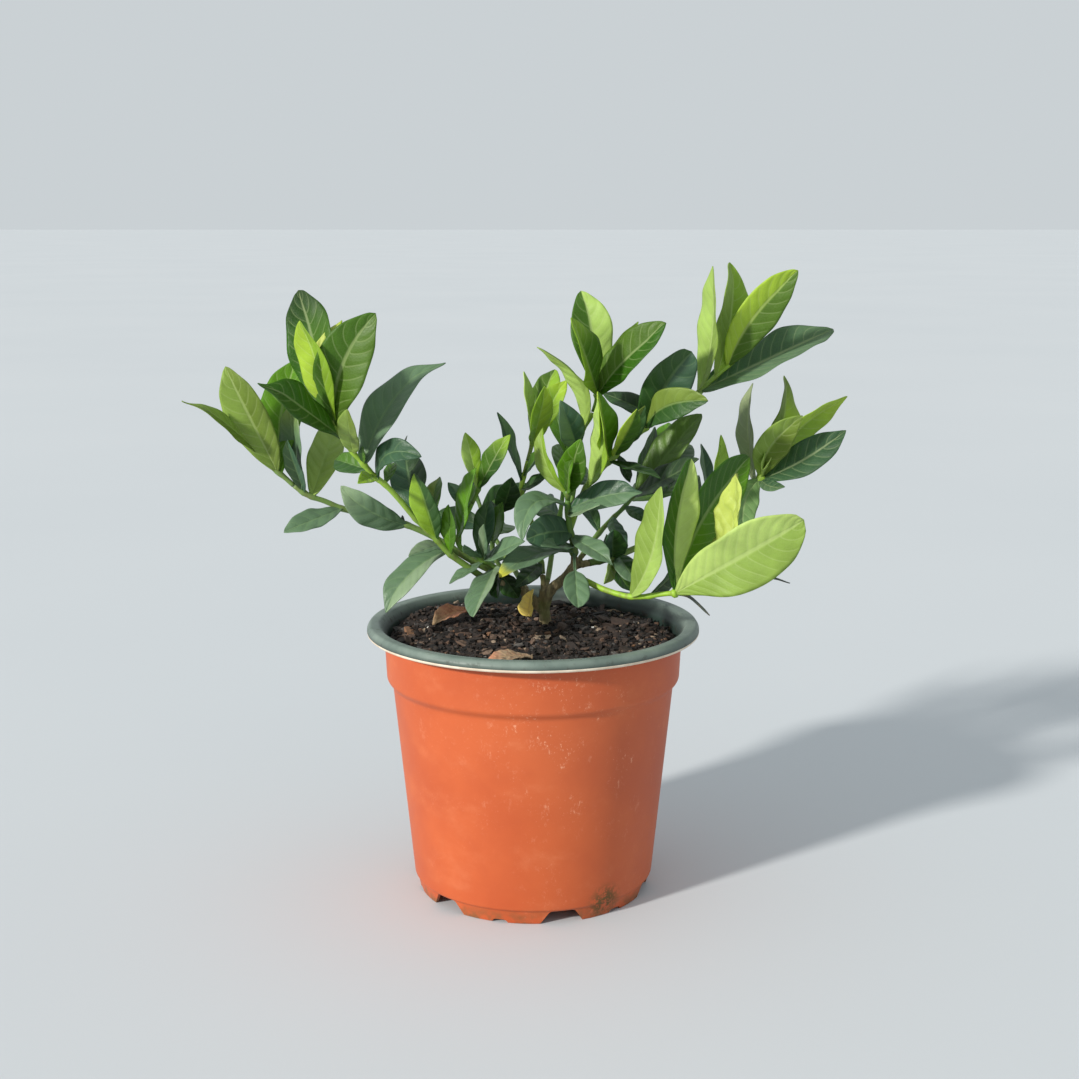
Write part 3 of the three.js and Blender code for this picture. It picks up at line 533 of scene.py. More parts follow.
        "paints": ("twig_green", "leaf"),
        "path": [
            (18.5, 149, 8), (23, 155, 15), (28, 162, 20), (34, 169, 24), (41, 176, 27),
            (46.5, 183, 30),
        ],
        "leaves": [
            ("r3", (46.5, 183), (74.5, 218, 30), 15, ("olive_leaf", "olive_leaf"),
             {"roundness": 0.6, "tail": 0.1}),
            ("r3b", (46, 182), (55, 212, 50), 9, ("dark", "deep"), {}),
            ("r4", (45, 181), (74, 197.5, 4), 10, ("deep", "deep"), {}),
            ("r10a", (36, 172), (42.8, 158.6, 6), 7, ("grey", "teal"), {"sway": 0.12}),
            ("r10b", (41, 176), (53, 169, 14), 6, ("dark", "teal"), {}),
            ("r10c", (30, 164), (22, 180, 38), 8, ("teal", "dark"), {}),
        ],
    },
    "far_right_branch": {
        "on": "trunk",
        "stub": 8,
        "new_from": 0.88,
        "radius": (1.7, 1.0),
        "paints": ("twig_green", "lime"),
        "path": [
            (18.5, 149, 8), (26, 150.5, 13), (36, 153, 19), (48, 158, 26), (62, 165, 32),
            (80, 175, 38), (95, 183, 42), (103, 190, 45),
        ],
        "leaves": [
            ("r5", (79, 174), (75, 204.5, 52), 5, ("grey", "teal"), {}),
            ("r11", (36, 152), (36.3, 165, -4), 12, ("teal", "dark"), {"roundness": 0.5, "tail": 0}),
            ("r11b", (30, 152), (33, 163.5, 2), 4, ("deep", "dark"), {}),
            ("r13", (36, 153), (32.6, 140.7, 2), 5, ("pale_lime", "olive"), {}),
            ("r14", (38, 154), (46.4, 141, 4), 10, ("grey", "dark"), {"roundness": 0.6}),
            ("r14b", (34, 153), (44, 137.5, 14), 8, ("dark", "leaf"), {}),
            ("s8", (80, 175), (84.5, 208, 26), 6, ("lime", "lime"), {}),
            ("q7", (66, 167), (74, 190, 58), 9, ("leaf", "dark"), {}),
        ],
        "new_leaves": [
            ("q1", (99, 187), (96.5, 231.5, 58), 8, ("dusty", "dusty"), {"sway": -0.05, "turned": 1}),
            ("q2", (103, 190), (112, 235, 66), 12, ("olive", "yellow_lime", "olive"),
             {"wave": 0.14, "sway": 0.07}),
            ("q3", (102, 189), (119.5, 217, 22), 16, ("olive_lime", "olive"), {"sway": -0.12}),
            ("q4", (103, 190), (139.7, 224.5, 50), 9, ("yellow_lime", "lime", "yellow_lime"),
             {"sway": -0.09}),
            ("q5", (101, 188), (138.9, 210.5, 34), 16, ("teal", "teal"), {"sway": 0.05}),
            ("q8", (102, 189), (103.5, 202, 34), 3.5, ("pale_lime", "lime"), {"wave": 0.2}),
            ("q9", (103, 190), (107, 199, 34), 3.5, ("shoot_lime", "lime"), {"wave": 0.2}),
            ("q6", (102, 188), (112.5, 185, 28), 6, ("grey", "teal"), {"sway": 0.1}),
            ("s5", (101, 188), (94.5, 164, 20), 12, ("blue_green", "blue_green"),
             {"sway": 0.1, "turned": 1, "roundness": 0.55}),
        ],
    },
    "low_right_branch": {
        "on": "trunk",
        "stub": 9,
        "young": True,
        "radius": (1.5, 1.1),
        "bud": 1.6,
        "paints": ("lime", "lime"),
        "stalks": [
            ([(64, 136.3, -26), (70, 135, -24), (74.5, 131.5, -22), (80, 126, -22)], 0.8, "dark_stalk"),
            ([(64, 136.3, -26), (84, 140, -22), (105, 143.5, -24), (116, 141, -26)], 0.8, "dark_stalk"),
        ],
        "path": [
            (14, 143, 10), (19.5, 143.5, 2), (24, 142, -4), (31, 138.5, -10), (40, 135.5, -16),
            (45, 134.7, -19), (51, 134.8, -22), (58, 135.9, -24), (65, 136.5, -27),
        ],
        "leaves": [
            ("s1", (44.5, 135), (56.5, 185, -36), 13.5, ("olive_lime", "pale_lime"),
             {"sway": 0.08, "roundness": 0.62, "turned": 1}),
            ("s2", (64, 136), (71.5, 197.5, -22), 14, ("rich", "shoot_lime"),
             {"sway": -0.05, "roundness": 0.55, "widest": 0.63, "turning": 1.25}),
            ("s3", (65, 136.5), (96, 198.5, 6), 21, ("rich", "bright"), {"sway": -0.08, "roundness": 0.6}),
            ("s4", (64, 136.5), (89, 190.5, -26), 12, ("gold_lime", "gold_lime"),
             {"wave": 0.14, "sway": 0.2, "roundness": 0.5, "crumple": 1.6, "turned": 1, "bare": 0.22,
              "arch": -0.06}),
            ("s6", (64.7, 136.5), (121.6, 169.8, -50), 29, ("shoot_lime", "olive_lime"),
             {"roundness": 0.5, "widest": 0.64, "hook": 0, "tail": 0.1}),
            ("r16", (53, 135), (66, 149, 2), 7, ("dark", "deep"), {}),
        ],
    },
    "back_left_shoot": {
        "on": "trunk",
        "stub": 9,
        "radius": (1.4, 0.9),
        "paints": ("twig_green", "leaf"),
        "path": [(-1, 134, 13.5), (-6, 143, 24), (-13, 155, 36), (-20, 167, 45), (-25, 180, 52)],
        "leaves": [
            ("e1", (-25, 179), (-33, 186, 70), 12, ("leaf", "dark"), {}),
            ("e2", (-23, 175), (-9, 184, 68), 11, ("dark", "leaf"), {}),
            ("e3", (-20, 167), (-44, 172, 64), 12, ("dark", "teal"), {}),
            ("e4", (-18, 163), (-12, 168, 72), 11, ("leaf", "leaf"), {}),
            ("e5", (-12, 153), (-28, 153, 60), 11, ("teal", "dark"), {}),
            ("e6", (-11, 151), (-2, 150, 62), 12, ("dark", "dark"), {}),
        ],
    },
    "back_centre_shoot": {
        "on": "trunk",
        "stub": 8,
        "radius": (1.4, 0.9),
        "paints": ("twig_green", "bright"),
        "path": [
            (5, 137, 13.7), (7, 145, 25), (9, 158, 35), (12, 172, 42), (14, 188, 46), (15, 200, 48),
        ],
        "leaves": [
            ("g1", (15, 199), (9, 221, 60), 9, ("bright", "leaf"), {}),
            ("g2", (15, 199), (17, 215, 68), 8, ("lime", "bright"), {}),
            ("g3", (14, 188), (11, 204, 70), 10, ("leaf", "leaf"), {}),
            ("g4", (14, 187), (26, 191, 68), 11, ("leaf", "dark"), {}),
            ("g5", (12, 172), (2, 178, 72), 13, ("dark", "teal"), {}),
            ("g6", (12, 170), (5, 163, 68), 12, ("teal", "dark"), {}),
        ],
    },
    "back_right_shoot": {
        "on": "far_right_branch",
        "stub": 5,
        "radius": (1.3, 0.9),
        "paints": ("twig_green", "leaf"),
        "path": [(48, 158, 26), (53, 167, 38), (56, 180, 46), (57, 193, 50)],
        "leaves": [
            ("k1", (57, 192), (60, 214, 68), 12, ("bright", "leaf"), {}),
            ("k2", (57, 192), (71, 204, 70), 11, ("leaf", "dark"), {}),
            ("k3", (56, 180), (66, 189, 70), 12, ("dark", "leaf"), {}),
            ("k4", (56, 179), (43, 184, 70), 10, ("leaf", "leaf"), {}),
            ("k5", (53, 167), (58, 158, 62), 11, ("dark", "teal"), {}),
        ],
    },
}

# The leaves that grow on no stem, each with its real places, the way its upper face looks, the rise
# of its middle as a share of twice its width, its skin as (roughness, stains) and its record slot.
LOOSE_LEAVES = {
    "fallen_leaf_left": {
        "foot": (-29, 18, 123.6), "tip": (-46.5, 9, 119.6), "up": (0.1, -0.35, 1), "width": 11,
        "rise": 0.1, "paints": ("dry", "dry", "tan"), "skin": (0.75, 0.55), "slot": "dead_leaf",
        "shape": {"fold": 26, "crumple": 0.5},
    },
    "fallen_leaf_front": {
        "foot": (0, -49, 119.4), "tip": (-20, -51, 118.9), "up": (0, -0.2, 1), "width": 9,
        "rise": 0.06, "paints": ("dead_grey", "dead_grey", "dry"), "skin": (0.75, 0.55),
        "slot": "dead_leaf", "shape": {"fold": 12, "crumple": 0.5},
    },
    # The yellow leaf's straw paint is partly painted light, lighter than the leaf so that it looks sunlit
    # where other leaves shade it.
    "yellow_leaf": {
        "foot": (-1.6, 7.6, 123.9), "tip": (-0.1, 9.2, 136.3), "up": (-0.6, -0.8, 0.1), "width": 10.5,
        "rise": 0.03, "paints": ("straw", "straw", "straw"), "skin": (0.5, 0), "slot": "yellow_leaf",
        "shape": {"fold": 42, "crumple": 0.15, "widest": 0.3, "roundness": 0.8},
    },
}


# ------------------------------------------------------------------ pieces and edits

def pick(*pieces):
    """Selects these pieces alone, the first of them active."""
    bpy.ops.object.select_all(action="DESELECT")
    for piece in pieces:
        piece.select_set(True)
    bpy.context.view_layer.objects.active = pieces[0]


def modify(piece, kind, **settings):
    """Adds a modifier and applies it."""
    modifier = piece.modifiers.new(kind.lower(), kind)
    for setting, value in settings.items():
        setattr(modifier, setting, value)
    pick(piece)
    bpy.ops.object.modifier_apply(modifier=modifier.name)


def edit_all(piece, *steps):
    """Runs edit-mode operators on everything in a piece."""
    pick(piece)
    bpy.ops.object.mode_set(mode="EDIT")
    bpy.ops.mesh.select_all(action="SELECT")
    for step in steps:
        step()
    bpy.ops.object.mode_set(mode="OBJECT")


def join(name, *pieces):
    pick(*pieces)
    bpy.ops.object.join()
    pieces[0].name = name
    return pieces[0]


def linked(name, mesh):
    """A new object in the scene with this mesh."""
    piece = bpy.data.objects.new(name, mesh)
    bpy.context.scene.collection.objects.link(piece)
    return piece


def corners_of(mesh):
    corners = np.empty(len(mesh.vertices) * 3)
    mesh.vertices.foreach_get("co", corners)
    return corners.reshape(-1, 3)


def move_corners(mesh, corners):
    mesh.vertices.foreach_set("co", np.asarray(corners, float).ravel())
    mesh.update()


def store(mesh, name, values, kind="FLOAT"):
    """Keeps a number or a colour for each corner of a mesh."""
    attribute = mesh.attributes.new(name, kind, "POINT")
    field = "color" if kind == "FLOAT_COLOR" else "value"
    attribute.data.foreach_set(field, np.asarray(values, float).ravel())


def store_tint(mesh, colours):
    alpha = np.ones((len(colours), 1))
    store(mesh, "tint", np.hstack([colours, alpha]), "FLOAT_COLOR")


def settle(piece, slot, *nodes):
    """Puts a finished piece in the frame, in place of its CAD nodes."""
    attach(piece, "root")
    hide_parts(*nodes)


# ------------------------------------------------------------------ shader maths

class Wire:
    """A socket in an expression: each operator adds the Math node that works it out."""

    def __init__(self, shader, socket):
        self.shader = shader
        self.socket = socket

    def math(self, operation, *values):
        return self.shader.node("ShaderNodeMath", {"operation": operation}, dict(enumerate(values)))

    def __add__(self, other):
        return self.math("ADD", self, other)

    def __radd__(self, other):
        return self.math("ADD", other, self)

    def __sub__(self, other):
        return self.math("SUBTRACT", self, other)

    def __rsub__(self, other):
        return self.math("SUBTRACT", other, self)

    def __mul__(self, other):
        return self.math("MULTIPLY", self, other)

    def __rmul__(self, other):
        return self.math("MULTIPLY", other, self)

    def __abs__(self):
        return self.math("ABSOLUTE", self)

    def most(self, other):
        return self.math("MAXIMUM", self, other)

    def fold_back(self, scale):
        """How far the value is from the nearest even multiple of a scale."""
        return self.math("PINGPONG", self, scale)

    def ramp(self, start, end):
        """0 where the value is at start and 1 where it is at end, smooth between and level beyond."""
        sockets = {"Value": self, "From Min": start, "From Max": end}
        return self.shader.node("ShaderNodeMapRange", {"interpolation_type": "SMOOTHSTEP"}, sockets)


def opaque(colour):
    """What a socket takes for a colour, which is a wire or the name of a paint."""
    return colour if isinstance(colour, Wire) else (*linear(colour), 1)


class Shader:
    """A material in the making, whose nodes are all added by one method."""

    def __init__(self, name):
        self.material = bpy.data.materials.new(name)
        self.material.use_nodes = True
        self.tree = self.material.node_tree
        self.tree.nodes.clear()
        self.output = self.tree.nodes.new("ShaderNodeOutputMaterial")

    def node(self, kind, settings=None, sockets=None, output=0):
        made = self.tree.nodes.new(kind)
        for name, value in (settings or {}).items():
            if name == "stops":
                self.set_stops(made.color_ramp, value)
            else:
                setattr(made, name, value)
        for name, value in (sockets or {}).items():
            if isinstance(value, Wire):
                self.tree.links.new(value.socket, made.inputs[name])
            else:
                made.inputs[name].default_value = value
        return Wire(self, made.outputs[output])

    def set_stops(self, color_ramp, stops):
        while len(color_ramp.elements) < len(stops):
            color_ramp.elements.new(1)
        for element, (place, colour) in zip(color_ramp.elements, stops):
            element.position = place
            element.color = opaque(colour)

    def place(self):
        """Object coordinates, in metres."""
        return self.node("ShaderNodeTexCoord", output="Object")

    def stretched(self, x, y, z):
        """Object coordinates, stretched by these factors."""
        return self.node("ShaderNodeMapping", {}, {"Vector": self.place(), "Scale": (x, y, z)})

    def stored(self, name, output="Fac"):
        return self.node("ShaderNodeAttribute", {"attribute_name": name}, output=output)

    def noise(self, scale, detail=3, roughness=0.5, vector=None):
        sockets = {"Scale": scale, "Detail": detail, "Roughness": roughness}
        return self.node("ShaderNodeTexNoise", {}, {"Vector": vector or self.place(), **sockets})

    def cells(self, scale, feature="F1"):
        sockets = {"Vector": self.place(), "Scale": scale}
        return self.node("ShaderNodeTexVoronoi", {"feature": feature}, sockets)

    def distance_to(self, place):
        """How far a point is from a place on the object, in metres."""
        sockets = {0: self.place(), 1: place}
        return self.node("ShaderNodeVectorMath", {"operation": "DISTANCE"}, sockets, output="Value")

    def height(self):
        """How far a point is above the object's foot, in metres."""
        return self.node("ShaderNodeSeparateXYZ", {}, {0: self.place()}, output="Z")

    def grey(self, light):
        """A grey that is as light as this value."""
        return self.node("ShaderNodeCombineColor", {}, {0: light, 1: light, 2: light})

    def colours(self, value, *stops):
        """A colour from a value, by stops of (value, paint)."""
        return self.node("ShaderNodeValToRGB", {"stops": stops}, {0: value})

    def blend(self, factor, first, second, how="MIX"):
        """Two colours, mixed."""
        settings = {"data_type": "RGBA", "blend_type": how}
        sockets = {0: factor, 6: opaque(first), 7: opaque(second)}
        return self.node("ShaderNodeMix", settings, sockets, output=2)

    def bump(self, height, distance, strength):
        sockets = {"Height": height, "Distance": distance, "Strength": strength}
        return self.node("ShaderNodeBump", {}, sockets)

    def surface(self, colour, roughness, normal=None, shine=0.5):
        sockets = {"Base Color": colour, "Roughness": roughness, "Specular IOR Level": shine}
        if normal is not None:
            sockets["Normal"] = normal
        return self.node("ShaderNodeBsdfPrincipled", {}, sockets)

    def finish(self, surface):
        self.tree.links.new(surface.socket, self.output.inputs["Surface"])
        return self.material


# ------------------------------------------------------------------ materials

def leaf_material(name, roughness, shine, through, glow, rib_paint, rib_share, relief):
    """One face of a leaf, with the share "glow" of its light coming through it in another paint."""
    shader = Shader(name)
    tint = shader.stored("tint", "Color")
    across = abs(shader.stored("across"))
    from_vein = shader.stored("vein").fold_back(0.5)
    side_vein = (1 - from_vein.ramp(0.02, 0.09)) * (1 - across.ramp(0.78, 0.96))
    midrib = 1 - across.ramp(0.03, 0.1)
    net = 1 - shader.cells(950, "DISTANCE_TO_EDGE").ramp(0.0, 0.12)
    patches = shader.noise(110, 3)
    speckle = shader.noise(1700, 2)
    body = shader.blend(1.0, tint, shader.grey(0.6 + patches * 0.62 + speckle * 0.16), "MULTIPLY")
    ribs = midrib.most(side_vein * 0.62).most(net * 0.16)
    pale = shader.blend(0.42, tint, rib_paint)
    colour = shader.blend(ribs * rib_share, body, pale)
    height = from_vein.ramp(0.02, 0.4) * relief - midrib * relief + net * 0.12 + speckle * 0.1
    normal = shader.bump(height, 0.0004, 0.55)
    gloss = roughness + patches * 0.12 + ribs * 0.08
    face = shader.surface(colour, gloss, normal, shine)
    back = shader.node("ShaderNodeBsdfTranslucent", {}, {"Color": opaque(through), "Normal": normal})
    return shader.finish(shader.node("ShaderNodeMixShader", {}, {0: glow, 1: face, 2: back}))


def stem_material():
    """The skin of green stems, buds and stalks, browner in streaks and corky in spots."""
    shader = Shader("green_stem")
    tint = shader.stored("tint", "Color")
    streaks = shader.noise(420, 4, vector=shader.stretched(1, 1, 0.35))
    corky = shader.cells(900).ramp(0.12, 0.05)
    worn = shader.blend(streaks.ramp(0.48, 0.7) * 0.5, tint, "bark")
    colour = shader.blend(corky * 0.4, worn, "tan")
    normal = shader.bump(streaks + corky, 0.0003, 0.6)
    return shader.finish(shader.surface(colour, 0.45 + streaks * 0.2, normal))


def bark_material():
    """The trunk's grey-brown bark, mossy in patches."""
    shader = Shader("trunk_bark")
    grain = shader.noise(500, 6, 0.6, shader.stretched(1, 1, 0.25))
    patches = shader.noise(110, 3)
    corky = shader.cells(640).ramp(0.2, 0.08)
    wood = shader.colours(grain, (0.3, "bark_dark"), (0.5, "bark_middle"), (0.72, "bark_light"))
    mossy = shader.blend(patches.ramp(0.5, 0.68) * 0.6, wood, "bark_moss")
    colour = shader.blend(corky * 0.45, mossy, "bark_cork")
    normal = shader.bump(grain * 1.4 + corky * 0.5, 0.0006, 0.9)
    return shader.finish(shader.surface(colour, 0.75 + grain * 0.2, normal))


def terracotta_plastic():
    """Orange thermoformed plastic with scuffs, dust and a dirty, mossy foot."""
    shader = Shader("terracotta_plastic")
    clouds = shader.noise(22, 4, 0.6)
    smears = shader.noise(34, 6, 0.7, shader.stretched(1, 1, 1.5))
    worn = 1 - shader.distance_to(WORN_PLACE).ramp(0.012, 0.05)
    patches = shader.noise(60, 3).ramp(0.42, 0.6)
    specks = shader.noise(950, 3, 0.65).ramp(0.62, 0.7) * (0.3 + worn * 0.7) * patches
    strokes = shader.noise(260, 6, 0.8, shader.stretched(1, 1, 0.6)).ramp(0.57, 0.66)
    marks = strokes * patches * (0.12 + worn * 0.6)
    scuffs = (specks * 0.4).most(marks)
    dust = smears.ramp(0.5, 0.8) * 0.3 + worn * 0.06
    grime = (1 - shader.height().ramp(0.0, 0.009)) * shader.noise(120, 4).ramp(0.42, 0.62)
    near_moss = 1 - shader.distance_to(MOSS_PLACE).ramp(0.003, 0.011)
    moss = near_moss * shader.noise(420, 4, 0.7).ramp(0.4, 0.55)
    base = shader.blend(clouds.ramp(0.3, 0.7), "terracotta_dark", "terracotta_light")
    dusty = shader.blend(dust, base, "pot_dust")
    scuffed = shader.blend(scuffs, dusty, "pot_scuff")
    dirty = shader.blend(grime * 0.7, scuffed, "pot_grime")
    colour = shader.blend(moss * 0.9, dirty, "pot_moss")
    ripple = shader.noise(60, 2, vector=shader.stretched(0.4, 0.4, 3))
    normal = shader.bump(ripple * 0.5 + smears * 0.1 + moss * 0.6 - scuffs * 0.2, 0.0004, 0.35)
    return shader.finish(shader.surface(colour, 0.44 + clouds * 0.12 + dust * 0.6 + moss * 0.3, normal))


def rim_plastic():
    """The grey-green inside and lip of the pot, splashed with soil, and darkened below the lip by painted
    shade.
    """
    shader = Shader("rim_plastic")
    clouds = shader.noise(40, 4, 0.6)
    splashes = shader.noise(260, 5, 0.7).ramp(0.55, 0.68)
    # Painted shade: below the lip, the inside wall is darkened towards a near-black green, where shade
    # falls inside the pot.
    inside = 1 - shader.height().ramp(0.1195, 0.1232)
    base = shader.blend(clouds.ramp(0.3, 0.7), "rim_dark", "rim_light")
    shaded = shader.blend(inside * 0.92, base, "inside_dark")
    colour = shader.blend(splashes * (0.2 + inside * 0.5), shaded, "soil_splash")
    normal = shader.bump(clouds * 0.3 + splashes * 0.4, 0.0003, 0.3)
    return shader.finish(shader.surface(colour, 0.42 + clouds * 0.15 + splashes * 0.2, normal))


def cut_edge_plastic():
    """The pale edge where the lip was cut from its sheet."""
    shader = Shader("cut_edge_plastic")
    patches = shader.noise(180, 4)
    colour = shader.blend(patches.ramp(0.35, 0.7), "cut_edge_dark", "cut_edge_light")
    return shader.finish(shader.surface(colour, 0.5 + patches * 0.2))


def soil_material():
    """Dark potting mix, damp in patches."""
    shader = Shader("potting_soil")
    crumbs = shader.cells(520)
    fine = shader.noise(900, 6, 0.7)
    patches = shader.noise(90, 3)
    earth = shader.colours(fine, (0.3, "soil_dark"), (0.5, "soil_middle"), (0.72, "soil_light"))
    colour = shader.blend(patches.ramp(0.45, 0.65) * 0.6, earth, "soil_damp")
    normal = shader.bump(fine + crumbs * 0.8, 0.0012, 0.9)
    return shader.finish(shader.surface(colour, 0.88 + fine * 0.1, normal))


def flake_material():
    """What lies in the soil, each bit in the colour that it keeps."""
    shader = Shader("bark_flakes")
    fibres = shader.noise(800, 5, 0.7, shader.stretched(1, 0.4, 1))
    colour = shader.blend(1.0, shader.stored("tint", "Color"), shader.grey(0.5 + fibres), "MULTIPLY")
    normal = shader.bump(fibres, 0.0006, 0.8)
    return shader.finish(shader.surface(colour, 0.75 + fibres * 0.2, normal))


def dry_leaf_material(name, roughness, stains):
    """A dying or dead leaf, veined, and stained as much as its row says."""
    shader = Shader(name)
    across = abs(shader.stored("across"))
    veins = (1 - shader.stored("vein").fold_back(0.5).ramp(0.03, 0.2)) * 0.6
    midrib = 1 - across.ramp(0.04, 0.14)
    ribs = midrib.most(veins)
    blotches = shader.noise(320, 5, 0.65)
    tint = shader.stored("tint", "Color")
    stained = shader.blend(blotches.ramp(0.45, 0.68) * stains, tint, "dead_stain")
    colour = shader.blend(ribs * 0.35, stained, "dead_rib")
    normal = shader.bump(blotches + ribs * 0.6, 0.0005, 0.8)
    return shader.finish(shader.surface(colour, roughness + blotches * 0.2, normal))


def floor_material():
    """A matt, very pale floor."""
    shader = Shader("pale_floor")
    colour = shader.blend(shader.noise(1.6, 3), "floor_dark", "floor_light")
    return shader.finish(shader.surface(colour, 0.85))


LEAF = {
    "mature": leaf_material(
        "mature_leaf", roughness=0.34, shine=0.42, through="bright", glow=0.16,
        rib_paint="mature_rib", rib_share=0.4, relief=0.6,
    ),
    "mature_under": leaf_material(
        "mature_leaf_underside", roughness=0.52, shine=0.3, through="bright", glow=0.16,
        rib_paint="mature_under_rib", rib_share=0.6, relief=0.4,
    ),
    "young": leaf_material(
        "young_leaf", roughness=0.38, shine=0.3, through="lime", glow=0.32,
        rib_paint="young_rib", rib_share=0.62, relief=0.5,
    ),
    "young_under": leaf_material(
        "young_leaf_underside", roughness=0.5, shine=0.2, through="lime", glow=0.32,
        rib_paint="young_under_rib", rib_share=0.8, relief=0.4,
    ),
}
GREEN_STEM = stem_material()
BARK_FLAKE = flake_material()


# ------------------------------------------------------------------ stems and curves

def unit(vectors):
    """One or more directions, each at a length of 1."""
    lengths = np.linalg.norm(vectors, axis=-1, keepdims=True)
    return vectors / np.maximum(lengths, 1e-9)


def seen(place):
    """The real point of a place that is given as seen from the front."""
    x, z, depth = place
    reach = 1 - depth / EYE[1]
    return np.array([EYE[0] + (x - EYE[0]) * reach, depth, EYE[2] + (z - EYE[2]) * reach])


class Curve:
    """A smooth curve through places seen from the front, read by the share of its length."""

    def __init__(self, path):
        points = [seen(place) for place in path]
        points = [2 * points[0] - points[1], *points, 2 * points[-1] - points[-2]]
        samples = []
        for before, start, end, after in zip(points, points[1:], points[2:], points[3:]):
            for step in range(CURVE_STEPS):
                samples.append(self.between(before, start, end, after, step / CURVE_STEPS))
        samples.append(points[-2])
        self.points = np.array(samples)
        pieces = np.linalg.norm(np.diff(self.points, axis=0), axis=1)
        self.length = pieces.sum()
        self.shares = np.concatenate([[0], np.cumsum(pieces)]) / self.length

    @staticmethod
    def between(before, start, end, after, t):
        """The point at t, from 0 to 1, between start and end on the smooth curve through all four."""
        leaving = (end - before) / 2
        arriving = (after - start) / 2
        cubic = 2 * start - 2 * end + leaving + arriving
        square = -3 * start + 3 * end - 2 * leaving - arriving
        return start + leaving * t + square * t**2 + cubic * t**3

    def at(self, share):
        return np.stack([np.interp(share, self.shares, axis) for axis in self.points.T], axis=-1)

    def along(self, share):
        reach = 0.005
        ahead = self.at(np.minimum(share + reach, 1))
        behind = self.at(np.maximum(share - reach, 0))
        return unit(ahead - behind)

    def nearest(self, place, lowest, highest):
        """The share between two limits that is seen nearest to a place."""
        shares = np.linspace(lowest, highest, 81)
        points = self.at(shares)
        reach = (1 - points[:, 1] / EYE[1])[:, None]
        front = EYE[[0, 2]] + (points[:, [0, 2]] - EYE[[0, 2]]) / reach
        return shares[np.argmin(np.linalg.norm(front - np.array(place), axis=1))]


def tube(name, centres, radii, tints, sides=STEM_SIDES):
    """A closed tube through centres, in millimetres, with a radius and a colour at each."""
    centres = np.asarray(centres)
    along = unit(np.gradient(centres, axis=0))
    normal = np.array([0.0, -1.0, 0.0])
    angles = np.arange(sides) / sides * 2 * math.pi
    corners = []
    for centre, direction, radius in zip(centres, along, radii):
        normal = unit(normal - direction * (normal @ direction))
        across = np.cross(direction, normal)
        ring = np.outer(np.cos(angles), normal) + np.outer(np.sin(angles), across)
        corners.extend(centre + ring * radius)
    count = len(centres)
    faces = [tuple(reversed(range(sides)))]
    for i in range(count - 1):
        for j in range(sides):
            k = (j + 1) % sides
            faces.append((i * sides + j, i * sides + k, (i + 1) * sides + k, (i + 1) * sides + j))
    faces.append(tuple(range((count - 1) * sides, count * sides)))
    mesh = bpy.data.meshes.new(name)
    mesh.from_pydata(np.array(corners) * MM, [], faces)
    store_tint(mesh, np.repeat(np.asarray(tints), sides, axis=0))
    mesh.shade_smooth()
    return linked(name, mesh)


def stem_piece(name, plan, feet, start, end):
    """A stretch of a leafy stem, a little thicker where leaves grow from it."""
    curve = plan["curve"]
    count = max(3, round(curve.length * (end - start) / STEM_STEP))
    shares = np.linspace(start, end, count)
    radii = np.interp(shares, [0, 1], plan["radius"])
    for foot in feet:
        distance = (shares - foot) * curve.length
        radii = radii * (1 + NODE_SWELLING * np.exp(-((distance / NODE_REACH) ** 2)))
    first, last = (linear(paint) for paint in plan["paints"])
    tints = first + np.outer(np.interp(shares, [start, end], [0, 1]), last - first)
    piece = tube(f"{name}_stem", curve.at(shares), radii, tints)
    piece.data.materials.append(GREEN_STEM)
    return piece


def bud_piece(name, plan):
    """The pointed bud at a stem's end, a little sunk into it."""
    curve = plan["curve"]
    length = plan.get("bud", BUD_LENGTH)
    shares = np.linspace(0, 1, BUD_RINGS)
    centres = curve.at(1.0) + np.outer(shares * length - BUD_SUNK, curve.along(1.0))
    radii = plan["radius"][1] * (0.95 + 0.35 * np.sin(math.pi * shares * 0.9)) * (1 - shares**2.2) + 0.12
    tints = np.tile(linear(plan["paints"][1]), (len(shares), 1))
    piece = tube(f"{name}_bud", centres, radii, tints, BUD_SIDES)
    piece.data.materials.append(GREEN_STEM)
    return piece


def stalk_piece(name, path, radius, paint):
    """A thin bare stalk, drawn to a point."""
    curve = Curve(path)
    shares = np.linspace(0, 1, max(6, round(curve.length / STALK_STEP)))
    radii = np.interp(shares, [0, 0.85, 1], [radius, radius * 0.7, radius * 0.3])
    tints = np.tile(linear(paint), (len(shares), 1))
    piece = tube(f"{name}_stalk", curve.at(shares), radii, tints, STALK_SIDES)
    piece.data.materials.append(GREEN_STEM)
    return piece


# ------------------------------------------------------------------ leaves

def flat_blade():
    """The blade that every leaf is a copy of: a thin plate, 1 long and 1 wide, with its underside
    in a material of its own."""
    bpy.ops.mesh.primitive_grid_add(x_subdivisions=BLADE_ROWS, y_subdivisions=BLADE_COLUMNS, size=1)
    blade = bpy.context.active_object
    blade.name = "flat_blade"
    for slot in ("mature", "mature_under"):
        blade.data.materials.append(LEAF[slot])
    modify(blade, "SOLIDIFY", thickness=1, offset=0, material_offset=1)
    blade.data.shade_smooth()
    return blade


def smooth(values, low, high):
    """0 up to low and 1 from high on, with a smooth rise between."""
    t = np.clip((values - low) / (high - low), 0, 1)
    return t * t * (3 - 2 * t)


